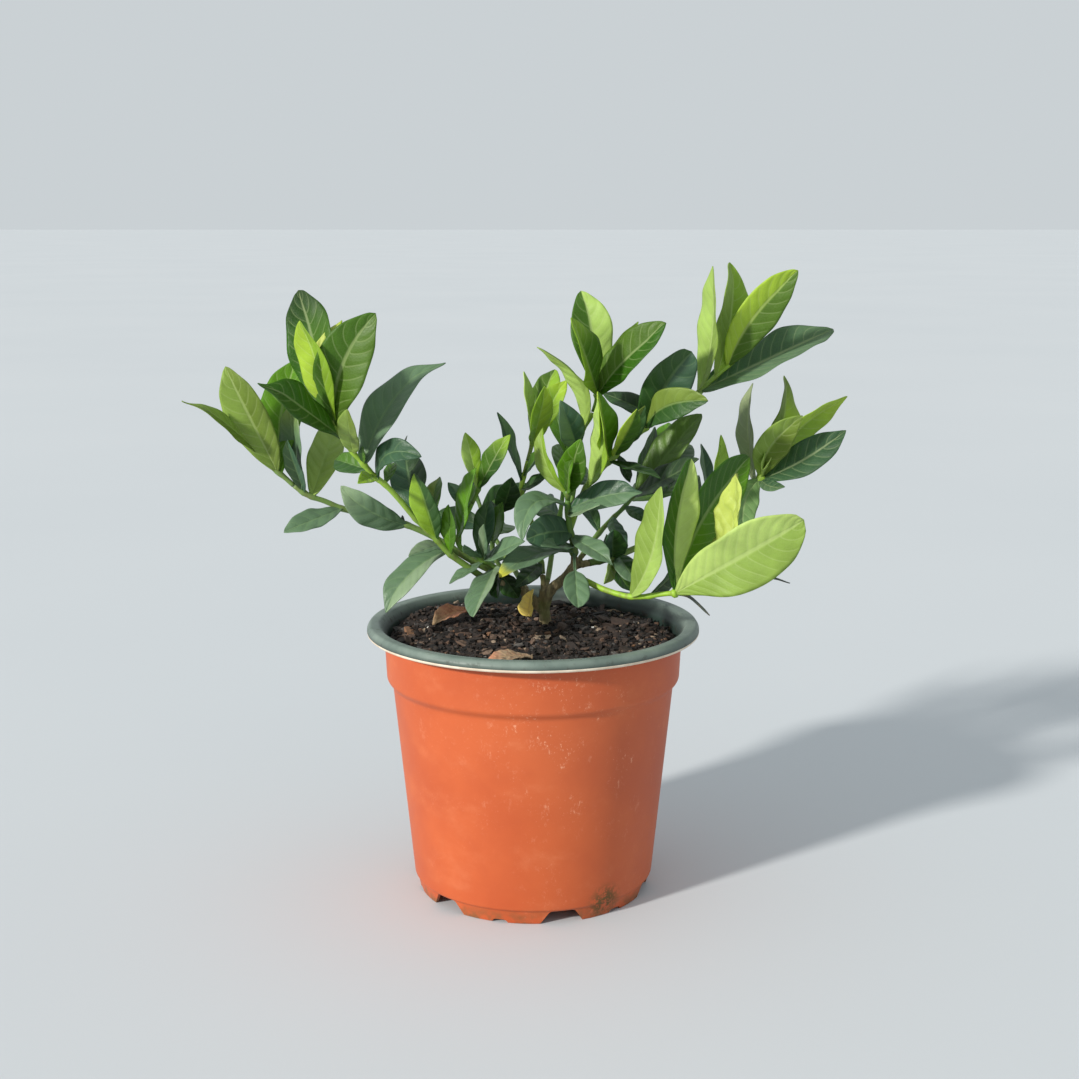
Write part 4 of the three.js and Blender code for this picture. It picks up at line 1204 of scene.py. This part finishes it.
# For each corner of the flat blade: its share of the length, how far across it is, from -1 to 1, its
# hand and its nearness to the edge, 1 on the upper face and -1 on the lower, and how much it is stalk.
FLAT_BLADE = flat_blade()
FLAT_CORNERS = corners_of(FLAT_BLADE.data)
SHARE = np.clip(FLAT_CORNERS[:, 0] + 0.5, 0, 1)
ACROSS = np.clip(-2 * FLAT_CORNERS[:, 1], -1, 1)
HAND = np.sign(ACROSS)
EDGE = np.abs(ACROSS)
FACE = 2 * FLAT_CORNERS[:, 2]
STALK = 1 - smooth(SHARE, 0.03, 0.13)


def half_widths(width, shape):
    """Half the blade's width at each corner: an uneven outline with a drawn-out tip."""
    share = ((SHARE - shape["bare"]) / (1 - shape["bare"])).clip(0, 1)
    power = math.log(0.5) / math.log(shape["widest"])
    outline = np.sin(math.pi * share**power).clip(0) ** shape["roundness"]
    outline = outline * (1 - shape["tail"] * smooth(share, 0.8, 0.95))
    least = np.interp(share, [0, 1], [0.65, 0.16])
    phase = shape["phase"]
    slow = 0.07 * np.sin(5 * SHARE + phase + 2.2 * HAND)
    quick = 0.03 * np.sin(13 * SHARE + 3 * phase - HAND)
    return np.maximum(width / 2 * outline, least) * (1 + slow + quick)


def side_veins(length, phase):
    """A count that rises along the blade and is whole on each side vein, which slants to the tip."""
    count = max(FEWEST_VEINS, round(length / VEIN_SPACING))
    return (SHARE - 0.17 * EDGE**1.4 + 0.006 * np.sin(23 * SHARE + phase)) * count + 0.2 * HAND


def blade_lift(half, length, vein, shape):
    """How far each corner is above the midrib's line: by the fold, the waves, the cushions between
    the side veins, the crumpling and the curl of the tip."""
    phase = shape["phase"]
    fold = math.radians(shape["fold"])
    ripple = shape["wave"] * np.sin(3 * math.pi * SHARE + phase + HAND) * EDGE**1.5
    flutter = 0.05 * np.sin((19 + 3 * math.sin(phase)) * SHARE + 2 * phase + 2 * HAND) * EDGE**3
    inner = (1 - EDGE**3) * smooth(EDGE, 0.0, 0.25)
    cushions = CUSHION_HEIGHT * smooth(half, 0.8, 4) * np.sin(math.pi * vein) ** 2 * inner
    lift = half * (EDGE * math.sin(fold) * (1.12 - 0.12 * EDGE**2) + ripple + flutter) + cushions
    if shape["crumple"]:
        creases = [noise.noise((share * 13, across * 4, phase)) for share, across in zip(SHARE, ACROSS)]
        lift += shape["crumple"] * np.array(creases)
    return lift - shape["curl"] * length * smooth(SHARE, 0.74, 1) ** 2


def face_heights(half):
    """How far the two faces are from the blade's middle: round at the edge, thick at the stalk, and
    with the midrib standing out below."""
    thickness = BLADE_THICKNESS + STALK_THICKNESS * STALK
    bulge = np.exp(-((ACROSS * half / RIB_WIDTH) ** 2))
    rib = RIB_THICKNESS * (1 - SHARE) * bulge * (FACE < 0) * (1 - STALK)
    round_edge = 1 - 0.45 * smooth(EDGE, 0.9, 1) * (1 - STALK)
    return FACE * (thickness / 2 + rib) * round_edge


def blade_directions(chord, bend, side, phase):
    """The ways across the blade and out of its upper face at each corner, with a slow twist."""
    along = unit(chord + np.outer(4 - 8 * SHARE, bend))
    across = unit(side - along * (along @ side)[:, None])
    outward = np.cross(across, along)
    twist = math.radians(9 * math.sin(phase * 1.7 + 1)) * (2 * SHARE - 1)
    cosine, sine = np.cos(twist)[:, None], np.sin(twist)[:, None]
    return across * cosine + outward * sine, outward * cosine - across * sine


def blade_tints(side, paints, tip_from):
    """The colour of each corner, by the half that it is in and its nearness to the tip. The two halves'
    paints are partly painted light and shade.
    """
    first, second = linear(paints[0]), linear(paints[1])
    right_hand = 1 if side @ np.array([1.0, 0.0, -0.6]) > 0 else -1
    share_second = smooth(ACROSS * right_hand, -0.1, 0.1)[:, None]
    tints = first + share_second * (second - first)
    if len(paints) > 2:
        tints = tints + smooth(SHARE, tip_from, 0.96)[:, None] * (linear(paints[2]) - tints)
    return tints


def blade_piece(name, foot, tip, up, width, bend, paints, shape):
    """A leaf: the flat blade, bent from foot to tip with its upper face up, shaped and tinted."""
    phase = shape["phase"]
    chord = tip - foot
    length = np.linalg.norm(chord)
    upper = up - unit(chord) * (up @ unit(chord))
    side = unit(np.cross(chord, upper))
    across, outward = blade_directions(chord, bend, side, phase)
    half = half_widths(width, shape)
    vein = side_veins(length, phase)
    lift = blade_lift(half, length, vein, shape)
    centre = foot + np.outer(SHARE, chord) + np.outer(4 * SHARE * (1 - SHARE), bend)
    centre += np.outer(smooth(SHARE, 0.7, 1) ** 1.5 - SHARE, shape["hook_by"])
    corners = centre + across * (ACROSS * half * math.cos(math.radians(shape["fold"])))[:, None]
    corners += outward * (lift + face_heights(half))[:, None]

    mesh = FLAT_BLADE.data.copy()
    mesh.name = name
    move_corners(mesh, corners * MM)
    store_tint(mesh, blade_tints(side, paints, shape["tip_from"]))
    store(mesh, "across", ACROSS)
    store(mesh, "vein", vein)
    return linked(name, mesh)


def leaf_shape(phase, hook_by, options):
    """All that shapes a blade. Its phase varies its waves, and its tip is bent aside by hook_by."""
    varying = {"phase": phase, "hook_by": hook_by, "curl": 0.015 + 0.02 * math.sin(phase)}
    return {**LEAF_SHAPE, **varying, **options}


def leaf_piece(stem_name, plan, leaf, index, lowest, highest, young):
    """A leaf on its stem, turned about its midrib until it is seen as wide as it should be."""
    name, foot_seen, tip_seen, seen_width, paints, options = leaf
    curve = plan["curve"]
    share = curve.nearest(foot_seen, lowest, highest)
    foot = curve.at(share)
    tip = seen(tip_seen)
    chord = tip - foot
    length = np.linalg.norm(chord)
    along = unit(chord)
    to_eye = EYE - foot
    to_eye = unit(to_eye - along * (to_eye @ along))
    to_side = np.cross(along, to_eye)
    hook = options.get("hook", 0.025 * math.sin(index * 2.3))
    shape = leaf_shape(index * PHASE_STEP, to_side * (hook * length), options)

    natural = min(WIDTH_TO_LENGTH * length, seen_width * shape["turning"])
    width = max(seen_width * LEAST_TURNED, natural)
    tilt = math.acos(seen_width / width)
    arch = shape["arch"] * length * math.cos(tilt)
    bend = to_eye * arch + to_side * (shape["sway"] * length)
    ways = [to_eye * math.cos(tilt) + to_side * (hand * math.sin(tilt)) for hand in (1, -1)]
    if "turned" in options:
        up = ways[options["turned"]]
    else:
        up = max(ways, key=lambda way: way @ curve.along(share))
    piece = blade_piece(f"{stem_name}_{name}", foot, tip, up, width, bend, paints, shape)
    if young:
        piece.data.materials[0] = LEAF["young"]
        piece.data.materials[1] = LEAF["young_under"]
    return piece, share


def growth_piece(name, plan, leaves, stalks, start, end, young):
    """A stretch of a stem with its leaves and stalks, as one piece in place of its CAD node."""
    margin = FOOT_MARGIN / plan["curve"].length
    made = [
        leaf_piece(name, plan, leaf, index, start + margin, end - margin / 2, young)
        for index, leaf in enumerate(leaves)
    ]
    pieces = [stem_piece(name, plan, [share for _, share in made], start, end)]
    if end == 1:
        pieces.append(bud_piece(name, plan))
    for path, radius, paint in stalks:
        pieces.append(stalk_piece(name, path, radius, paint))
    whole = join(f"{name}_foliage", *pieces, *[leaf for leaf, _ in made])
    settle(whole, "young_leaf" if young else "mature_leaf", name)


def make_leafy_stems():
    for name, plan in LEAFY_STEMS.items():
        plan["curve"] = Curve(plan["path"])
        gap = STEM_GAP / plan["curve"].length
        start = plan["stub"] / plan["curve"].length + gap
        split = plan.get("new_from", 1)
        young = plan.get("young", False)
        growth_piece(name, plan, plan["leaves"], plan.get("stalks", []), start, split, young)
        if "new_leaves" in plan:
            growth_piece(f"{name}_new_growth", plan, plan["new_leaves"], [], split + gap, 1, True)


def make_trunk():
    """The trunk and its forks, with the stub of each stem that it carries, grown into one body."""
    parts = [(Curve(part["path"]), part["radius"], 1) for part in TRUNK_PARTS]
    for plan in LEAFY_STEMS.values():
        if plan["on"] == "trunk":
            parts.append((plan["curve"], plan["radius"], plan["stub"] / plan["curve"].length))
    tubes = []
    for curve, radius, end in parts:
        shares = np.linspace(0, end, max(4, round(curve.length * end / TRUNK_STEP)))
        tints = np.tile(linear("bark"), (len(shares), 1))
        tubes.append(tube("trunk_part", curve.at(shares), np.interp(shares, [0, 1], radius), tints))
    trunk = join("trunk_wood", *tubes)
    modify(trunk, "REMESH", mode="VOXEL", voxel_size=TRUNK_VOXEL * MM)
    modify(trunk, "SMOOTH", factor=0.5, iterations=5)
    corners = corners_of(trunk.data)
    normals = np.array([vertex.normal for vertex in trunk.data.vertices])
    rough = np.array([noise.noise(corner * TRUNK_GRAIN) for corner in corners])
    move_corners(trunk.data, corners + normals * rough[:, None] * TRUNK_ROUGHNESS * MM)
    trunk.data.shade_smooth()
    trunk.data.materials.clear()
    trunk.data.materials.append(bark_material())
    settle(trunk, "bark", "trunk")


def make_side_stubs():
    """The stub of each stem that another stem carries, which is part of that one's CAD node."""
    for name, plan in LEAFY_STEMS.items():
        if plan["on"] == "trunk":
            continue
        stub = stem_piece(f"{name}_stub", plan, [], 0, plan["stub"] / plan["curve"].length)
        stub.name = f"{name}_foot"
        settle(stub, "mature_leaf", plan["on"])


def make_loose_leaves():
    for name, leaf in LOOSE_LEAVES.items():
        up = unit(np.array(leaf["up"], float))
        foot, tip = np.array(leaf["foot"], float), np.array(leaf["tip"], float)
        bend = up * leaf["rise"] * leaf["width"] * 2
        shape = leaf_shape(LOOSE_PHASE, np.zeros(3), {"wave": LOOSE_WAVE, **leaf["shape"]})
        piece = blade_piece(f"{name}_blade", foot, tip, up, leaf["width"], bend, leaf["paints"], shape)
        material = dry_leaf_material(f"{name}_skin", *leaf["skin"])
        piece.data.materials[0] = material
        piece.data.materials[1] = material
        settle(piece, leaf["slot"], name)


# ------------------------------------------------------------------ the pot

def rounded(corners):
    """An outline of (radius, height, rounding) corners, each corner rounded by a curve."""
    outline = []
    for i, (radius, height, rounding) in enumerate(corners):
        corner = np.array([radius, height], float)
        if not rounding:
            outline.append(corner)
            continue
        before = np.array(corners[i - 1][:2], float)
        after = np.array(corners[i + 1][:2], float)
        start = corner + unit(before - corner) * rounding
        end = corner + unit(after - corner) * rounding
        for t in np.linspace(0, 1, ROUNDING_STEPS):
            outline.append((1 - t) ** 2 * start + 2 * t * (1 - t) * corner + t**2 * end)
    return outline


def pot_outline():
    """The pot's section, from the middle of its floor out, up over the rim and down inside."""
    wall = POT_WALL
    return rounded([
        (0, FLOOR_BOTTOM, 0),
        (FOOT_TOP[0] - wall, FLOOR_BOTTOM, 0.5),
        (FOOT_RADIUS - wall, 0.2, 0.3),
        (FOOT_RADIUS, 0, 0.5),
        (*FOOT_TOP, 0.4),
        (*BODY_BOTTOM, 0.6),
        (*BODY_TOP, 1.2),
        (*COLLAR_BOTTOM, 1.3),
        (COLLAR_RADIUS, RIM_BOTTOM, 0.8),
        (RIM_RADIUS - 0.7, RIM_BOTTOM, 0.35),
        (RIM_RADIUS, RIM_BOTTOM + 0.7, 0.35),
        (RIM_RADIUS, RIM_BOTTOM + CREAM_EDGE, 0),
        (RIM_RADIUS, RIM_BOTTOM + 2.8, 0.7),
        (RIM_RADIUS - 1.3, RIM_TOP, 0.9),
        (RIM_INSIDE, RIM_TOP - 0.2, 1.1),
        (COLLAR_RADIUS - wall, RIM_BOTTOM - 0.9, 1.5),
        (COLLAR_BOTTOM[0] - wall, COLLAR_BOTTOM[1] + 0.3, 1.2),
        (BODY_TOP[0] - wall, BODY_TOP[1] + 0.3, 1.2),
        (BODY_BOTTOM[0] - wall, FLOOR_BOTTOM + wall, 1.4),
        (0, FLOOR_BOTTOM + wall, 0),
    ])


def lathe(name, outline):
    """Spins an outline round the pot's axis into a closed piece."""
    mesh = bpy.data.meshes.new(name)
    points = [(radius * MM, 0, height * MM) for radius, height in outline]
    mesh.from_pydata(points, [(i, i + 1) for i in range(len(points) - 1)], [])
    piece = linked(name, mesh)
    edit_all(
        piece,
        lambda: bpy.ops.mesh.spin(steps=POT_STEPS, angle=2 * math.pi, center=(0, 0, 0), axis=(0, 0, 1)),
        lambda: bpy.ops.mesh.select_all(action="SELECT"),
        lambda: bpy.ops.mesh.remove_doubles(threshold=1e-6),
        lambda: bpy.ops.mesh.normals_make_consistent(inside=False),
    )
    return piece


def rotated(corners, about_x, about_y, about_z):
    """Corners turned by three angles about the three axes, one after another."""
    for angle, (a, b) in ((about_x, (1, 2)), (about_y, (2, 0)), (about_z, (0, 1))):
        cosine, sine = math.cos(angle), math.sin(angle)
        first, second = corners[:, a].copy(), corners[:, b].copy()
        corners[:, a] = first * cosine - second * sine
        corners[:, b] = first * sine + second * cosine
    return corners


def notch_cutter(notch, angle):
    """A block with a narrower, rounded top that cuts one notch through the foot ring."""
    bpy.ops.mesh.primitive_cube_add(size=1)
    cutter = bpy.context.active_object
    corners = corners_of(cutter.data)
    upper = corners[:, 2] > 0
    corners[:, 0] *= np.where(upper, notch["top"], notch["bottom"])
    corners[:, 1] = corners[:, 1] * NOTCH_REACH - FOOT_RADIUS
    corners[:, 2] = np.where(upper, notch["height"], -NOTCH_BELOW)
    move_corners(cutter.data, rotated(corners, 0, 0, math.radians(angle)) * MM)
    modify(cutter, "BEVEL", width=NOTCH_ROUNDING * MM, segments=4, limit_method="ANGLE")
    return cutter


def drain_cutter(angle):
    """A rod that cuts one drain hole through the floor."""
    x, y = DRAIN_CIRCLE * math.sin(angle), -DRAIN_CIRCLE * math.cos(angle)
    bpy.ops.mesh.primitive_cylinder_add(
        vertices=DRAIN_SIDES, radius=DRAIN_RADIUS * MM, depth=DRAIN_DEPTH * MM,
        location=(x * MM, y * MM, FLOOR_BOTTOM * MM),
    )
    cutter = bpy.context.active_object
    bpy.ops.object.transform_apply(location=True, rotation=True, scale=True)
    return cutter


def paint_pot(pot):
    """The lip and the inside take the grey-green plastic, and the lip's lower edge is pale."""
    outside, inside, cut_edge = range(3)
    for material in (terracotta_plastic(), rim_plastic(), cut_edge_plastic()):
        pot.data.materials.append(material)
    for face in pot.data.polygons:
        radius = math.hypot(face.center.x, face.center.y) / MM
        height = face.center.z / MM
        within_wall = radius < np.interp(height, WALL_HEIGHTS, WALL_MIDDLES)
        if height > RIM_BOTTOM + CREAM_EDGE or (height > FLOOR_BOTTOM + 0.9 and within_wall):
            face.material_index = inside
        elif height > RIM_BOTTOM + 0.1 and radius > RIM_RADIUS - 1.2:
            face.material_index = cut_edge
        else:
            face.material_index = outside


def make_pot():
    pot = lathe("nursery_pot", pot_outline())
    cutters = []
    for turn in range(0, 360, 2 * NOTCH_STEP):
        cutters.append(notch_cutter(WIDE_NOTCH, FIRST_WIDE_NOTCH + turn))
        cutters.append(notch_cutter(NARROW_NOTCH, FIRST_NARROW_NOTCH + turn))
    for hole in range(DRAIN_HOLES):
        cutters.append(drain_cutter(hole * 2 * math.pi / DRAIN_HOLES))
    cutter = join("pot_cutters", *cutters)
    modify(pot, "BOOLEAN", operation="DIFFERENCE", solver="EXACT", object=cutter)
    bpy.data.objects.remove(cutter)
    paint_pot(pot)
    pick(pot)
    bpy.ops.object.shade_smooth_by_angle(angle=math.radians(SMOOTH_ANGLE))
    settle(pot, "pot_plastic", "pot")


# ------------------------------------------------------------------ the soil

def soil_level(x, y):
    """The height of the soil, without its lumps."""
    level = np.full_like(x, SOIL_LEVEL)
    for height, mound_x, mound_y, spread in SOIL_MOUNDS:
        level = level + height * np.exp(-((x - mound_x) ** 2 + (y - mound_y) ** 2) / (2 * spread**2))
    return level


def soil_lump(x, y):
    """How far the soil is above or below its level at one place."""
    return sum(height * noise.noise((x * often, y * often, layer)) for height, often, layer in SOIL_LUMPS)


def soil_bed():
    """A lumpy disc of soil, drawn down the pot's wall into a closed body."""
    bpy.ops.mesh.primitive_grid_add(x_subdivisions=SOIL_CELLS, y_subdivisions=SOIL_CELLS, size=2)
    bed = bpy.context.active_object
    bed.name = "soil_bed"
    flat = corners_of(bed.data)
    x = flat[:, 0] * np.sqrt(1 - flat[:, 1] ** 2 / 2) * SOIL_REACH
    y = flat[:, 1] * np.sqrt(1 - flat[:, 0] ** 2 / 2) * SOIL_REACH
    lumps = np.array([soil_lump(*place) for place in zip(x, y)])
    edge = smooth(np.hypot(x, y), SOIL_REACH - SOIL_EDGE, SOIL_REACH)
    z = soil_level(x, y) + lumps * (1 - 0.5 * edge) - SOIL_EDGE_DROP * edge
    move_corners(bed.data, np.stack([x, y, z], axis=1) * MM)
    pick(bed)
    bpy.ops.object.mode_set(mode="EDIT")
    for radius, height in SOIL_RINGS:
        draw_boundary_down(bed, radius, height)
    bpy.ops.mesh.edge_face_add()
    bpy.ops.object.mode_set(mode="OBJECT")
    bed.data.shade_smooth()
    return bed


def draw_boundary_down(bed, radius, height):
    """Extrudes the bed's open edge to a ring of this radius at this height."""
    bpy.ops.mesh.select_mode(type="EDGE")
    bpy.ops.mesh.select_all(action="DESELECT")
    bpy.ops.mesh.select_non_manifold()
    bpy.ops.mesh.extrude_region_move()
    bpy.ops.object.mode_set(mode="OBJECT")
    corners = corners_of(bed.data)
    chosen = np.array([vertex.select for vertex in bed.data.vertices])
    reach = np.linalg.norm(corners[chosen, :2], axis=1, keepdims=True)
    corners[chosen, :2] *= radius * MM / reach
    corners[chosen, 2] = height * MM
    move_corners(bed.data, corners)
    bpy.ops.object.mode_set(mode="EDIT")


def flake_kinds(source):
    """A few worn splinters, each as its corners and its faces, that what lies in the soil copies."""
    kinds = []
    for _ in range(FLAKE_KINDS):
        bpy.ops.mesh.primitive_cube_add(size=1)
        flake = bpy.context.active_object
        edit_all(flake, lambda: bpy.ops.mesh.subdivide(number_cuts=1))
        corners = corners_of(flake.data)
        for corner in corners:
            corner[1:] *= 1 - 0.5 * abs(corner[0]) * source.uniform(0.6, 1.6)
            corner += [source.uniform(-FLAKE_JITTER, FLAKE_JITTER) for _ in range(3)]
        kinds.append((corners, [tuple(face.vertices) for face in flake.data.polygons]))
        bpy.data.objects.remove(flake)
    return kinds


def is_clear(x, y, share):
    """False within this share of a clearing's radius."""
    return all(math.hypot(x - cx, y - cy) > radius * share for cx, cy, radius in CLEARINGS)


def scatter(name, seed, count, lengths, widths, thicknesses, paints):
    """Many turned copies of the splinters, lying in the soil, as one piece."""
    source = random.Random(seed)
    kinds = flake_kinds(source)
    colours = [linear(paint) for paint, _ in paints]
    weights = [weight for _, weight in paints]
    corners, faces, tints = [], [], []
    while count:
        angle = source.uniform(0, 2 * math.pi)
        reach = (SOIL_REACH - FLAKE_MARGIN) * math.sqrt(source.random())
        x, y = reach * math.cos(angle), reach * math.sin(angle)
        length = source.uniform(*lengths) * source.uniform(0.6, 1)
        if not is_clear(x, y, 1 if length > LONG_FLAKE else SHORT_FLAKE_SHARE):
            continue
        count -= 1
        size = np.array([length, length * source.uniform(*widths), length * source.uniform(*thicknesses)])
        shape, plates = kinds[source.randrange(len(kinds))]
        tilt = source.gauss(0, FLAKE_TILT)
        roll = source.gauss(0, FLAKE_ROLL)
        turn = source.uniform(0, 2 * math.pi)
        placed = rotated(shape * size, roll, tilt, turn)
        level = float(soil_level(np.array([x]), np.array([y]))[0])
        placed += [x, y, level + size[2] * 0.5 - length * FLAKE_SINK + source.uniform(*FLAKE_RISE)]
        start = len(corners)
        faces.extend(tuple(start + corner for corner in plate) for plate in plates)
        corners.extend(placed)
        colour = source.choices(colours, weights)[0] * source.uniform(0.75, 1.25)
        tints.extend([colour] * len(placed))
    mesh = bpy.data.meshes.new(name)
    mesh.from_pydata(np.array(corners) * MM, [], faces)
    store_tint(mesh, np.array(tints).clip(0, 1))
    mesh.materials.append(BARK_FLAKE)
    return linked(name, mesh)


def make_soil():
    bed = soil_bed()
    bed.data.materials.append(soil_material())
    settle(bed, "soil", "potting_soil")
    loose = [scatter(*bits) for bits in SOIL_BITS]
    loose.append(stalk_piece("soil", *SOIL_TWIG))
    for piece in loose:
        settle(piece, "soil", "potting_soil")


# ------------------------------------------------------------------ camera, light and floor

def make_camera():
    data = bpy.data.cameras.new("photo_camera")
    data.sensor_width = SENSOR
    data.lens = FOCAL_PIXELS / PHOTO_SIDE * SENSOR
    camera = bpy.data.objects.new("photo_camera", data)
    bpy.context.scene.collection.objects.link(camera)
    camera.location = Vector(EYE) * MM
    camera.rotation_euler = (math.radians(90 - PITCH_DOWN), 0, 0)
    bpy.context.scene.camera = camera


def make_light():
    """Soft light from the left and the front, and a pale sky all round."""
    bpy.ops.object.light_add(type="SUN")
    sun = bpy.context.active_object
    sun.name = "key_light"
    sun.data.energy = SUN_ENERGY
    sun.data.angle = math.radians(SUN_ANGLE)
    sun.data.color = SUN_COLOUR
    sun.rotation_euler = Vector(SUN_HEADING).to_track_quat("-Z", "Y").to_euler()
    world = bpy.data.worlds.new("pale_sky")
    world.use_nodes = True
    sky = world.node_tree.nodes["Background"]
    sky.inputs["Color"].default_value = SKY_COLOUR
    sky.inputs["Strength"].default_value = SKY_STRENGTH
    bpy.context.scene.world = world


def make_floor():
    bpy.ops.mesh.primitive_plane_add(size=FLOOR_METRES)
    floor = bpy.context.active_object
    floor.name = "floor"
    floor.data.materials.append(floor_material())


# ------------------------------------------------------------------ the whole

make_camera()
make_light()
make_floor()
make_pot()
make_soil()
make_leafy_stems()
make_trunk()
make_side_stubs()
make_loose_leaves()
bpy.data.objects.remove(FLAT_BLADE)
bpy.context.scene.view_settings.view_transform = "Standard"
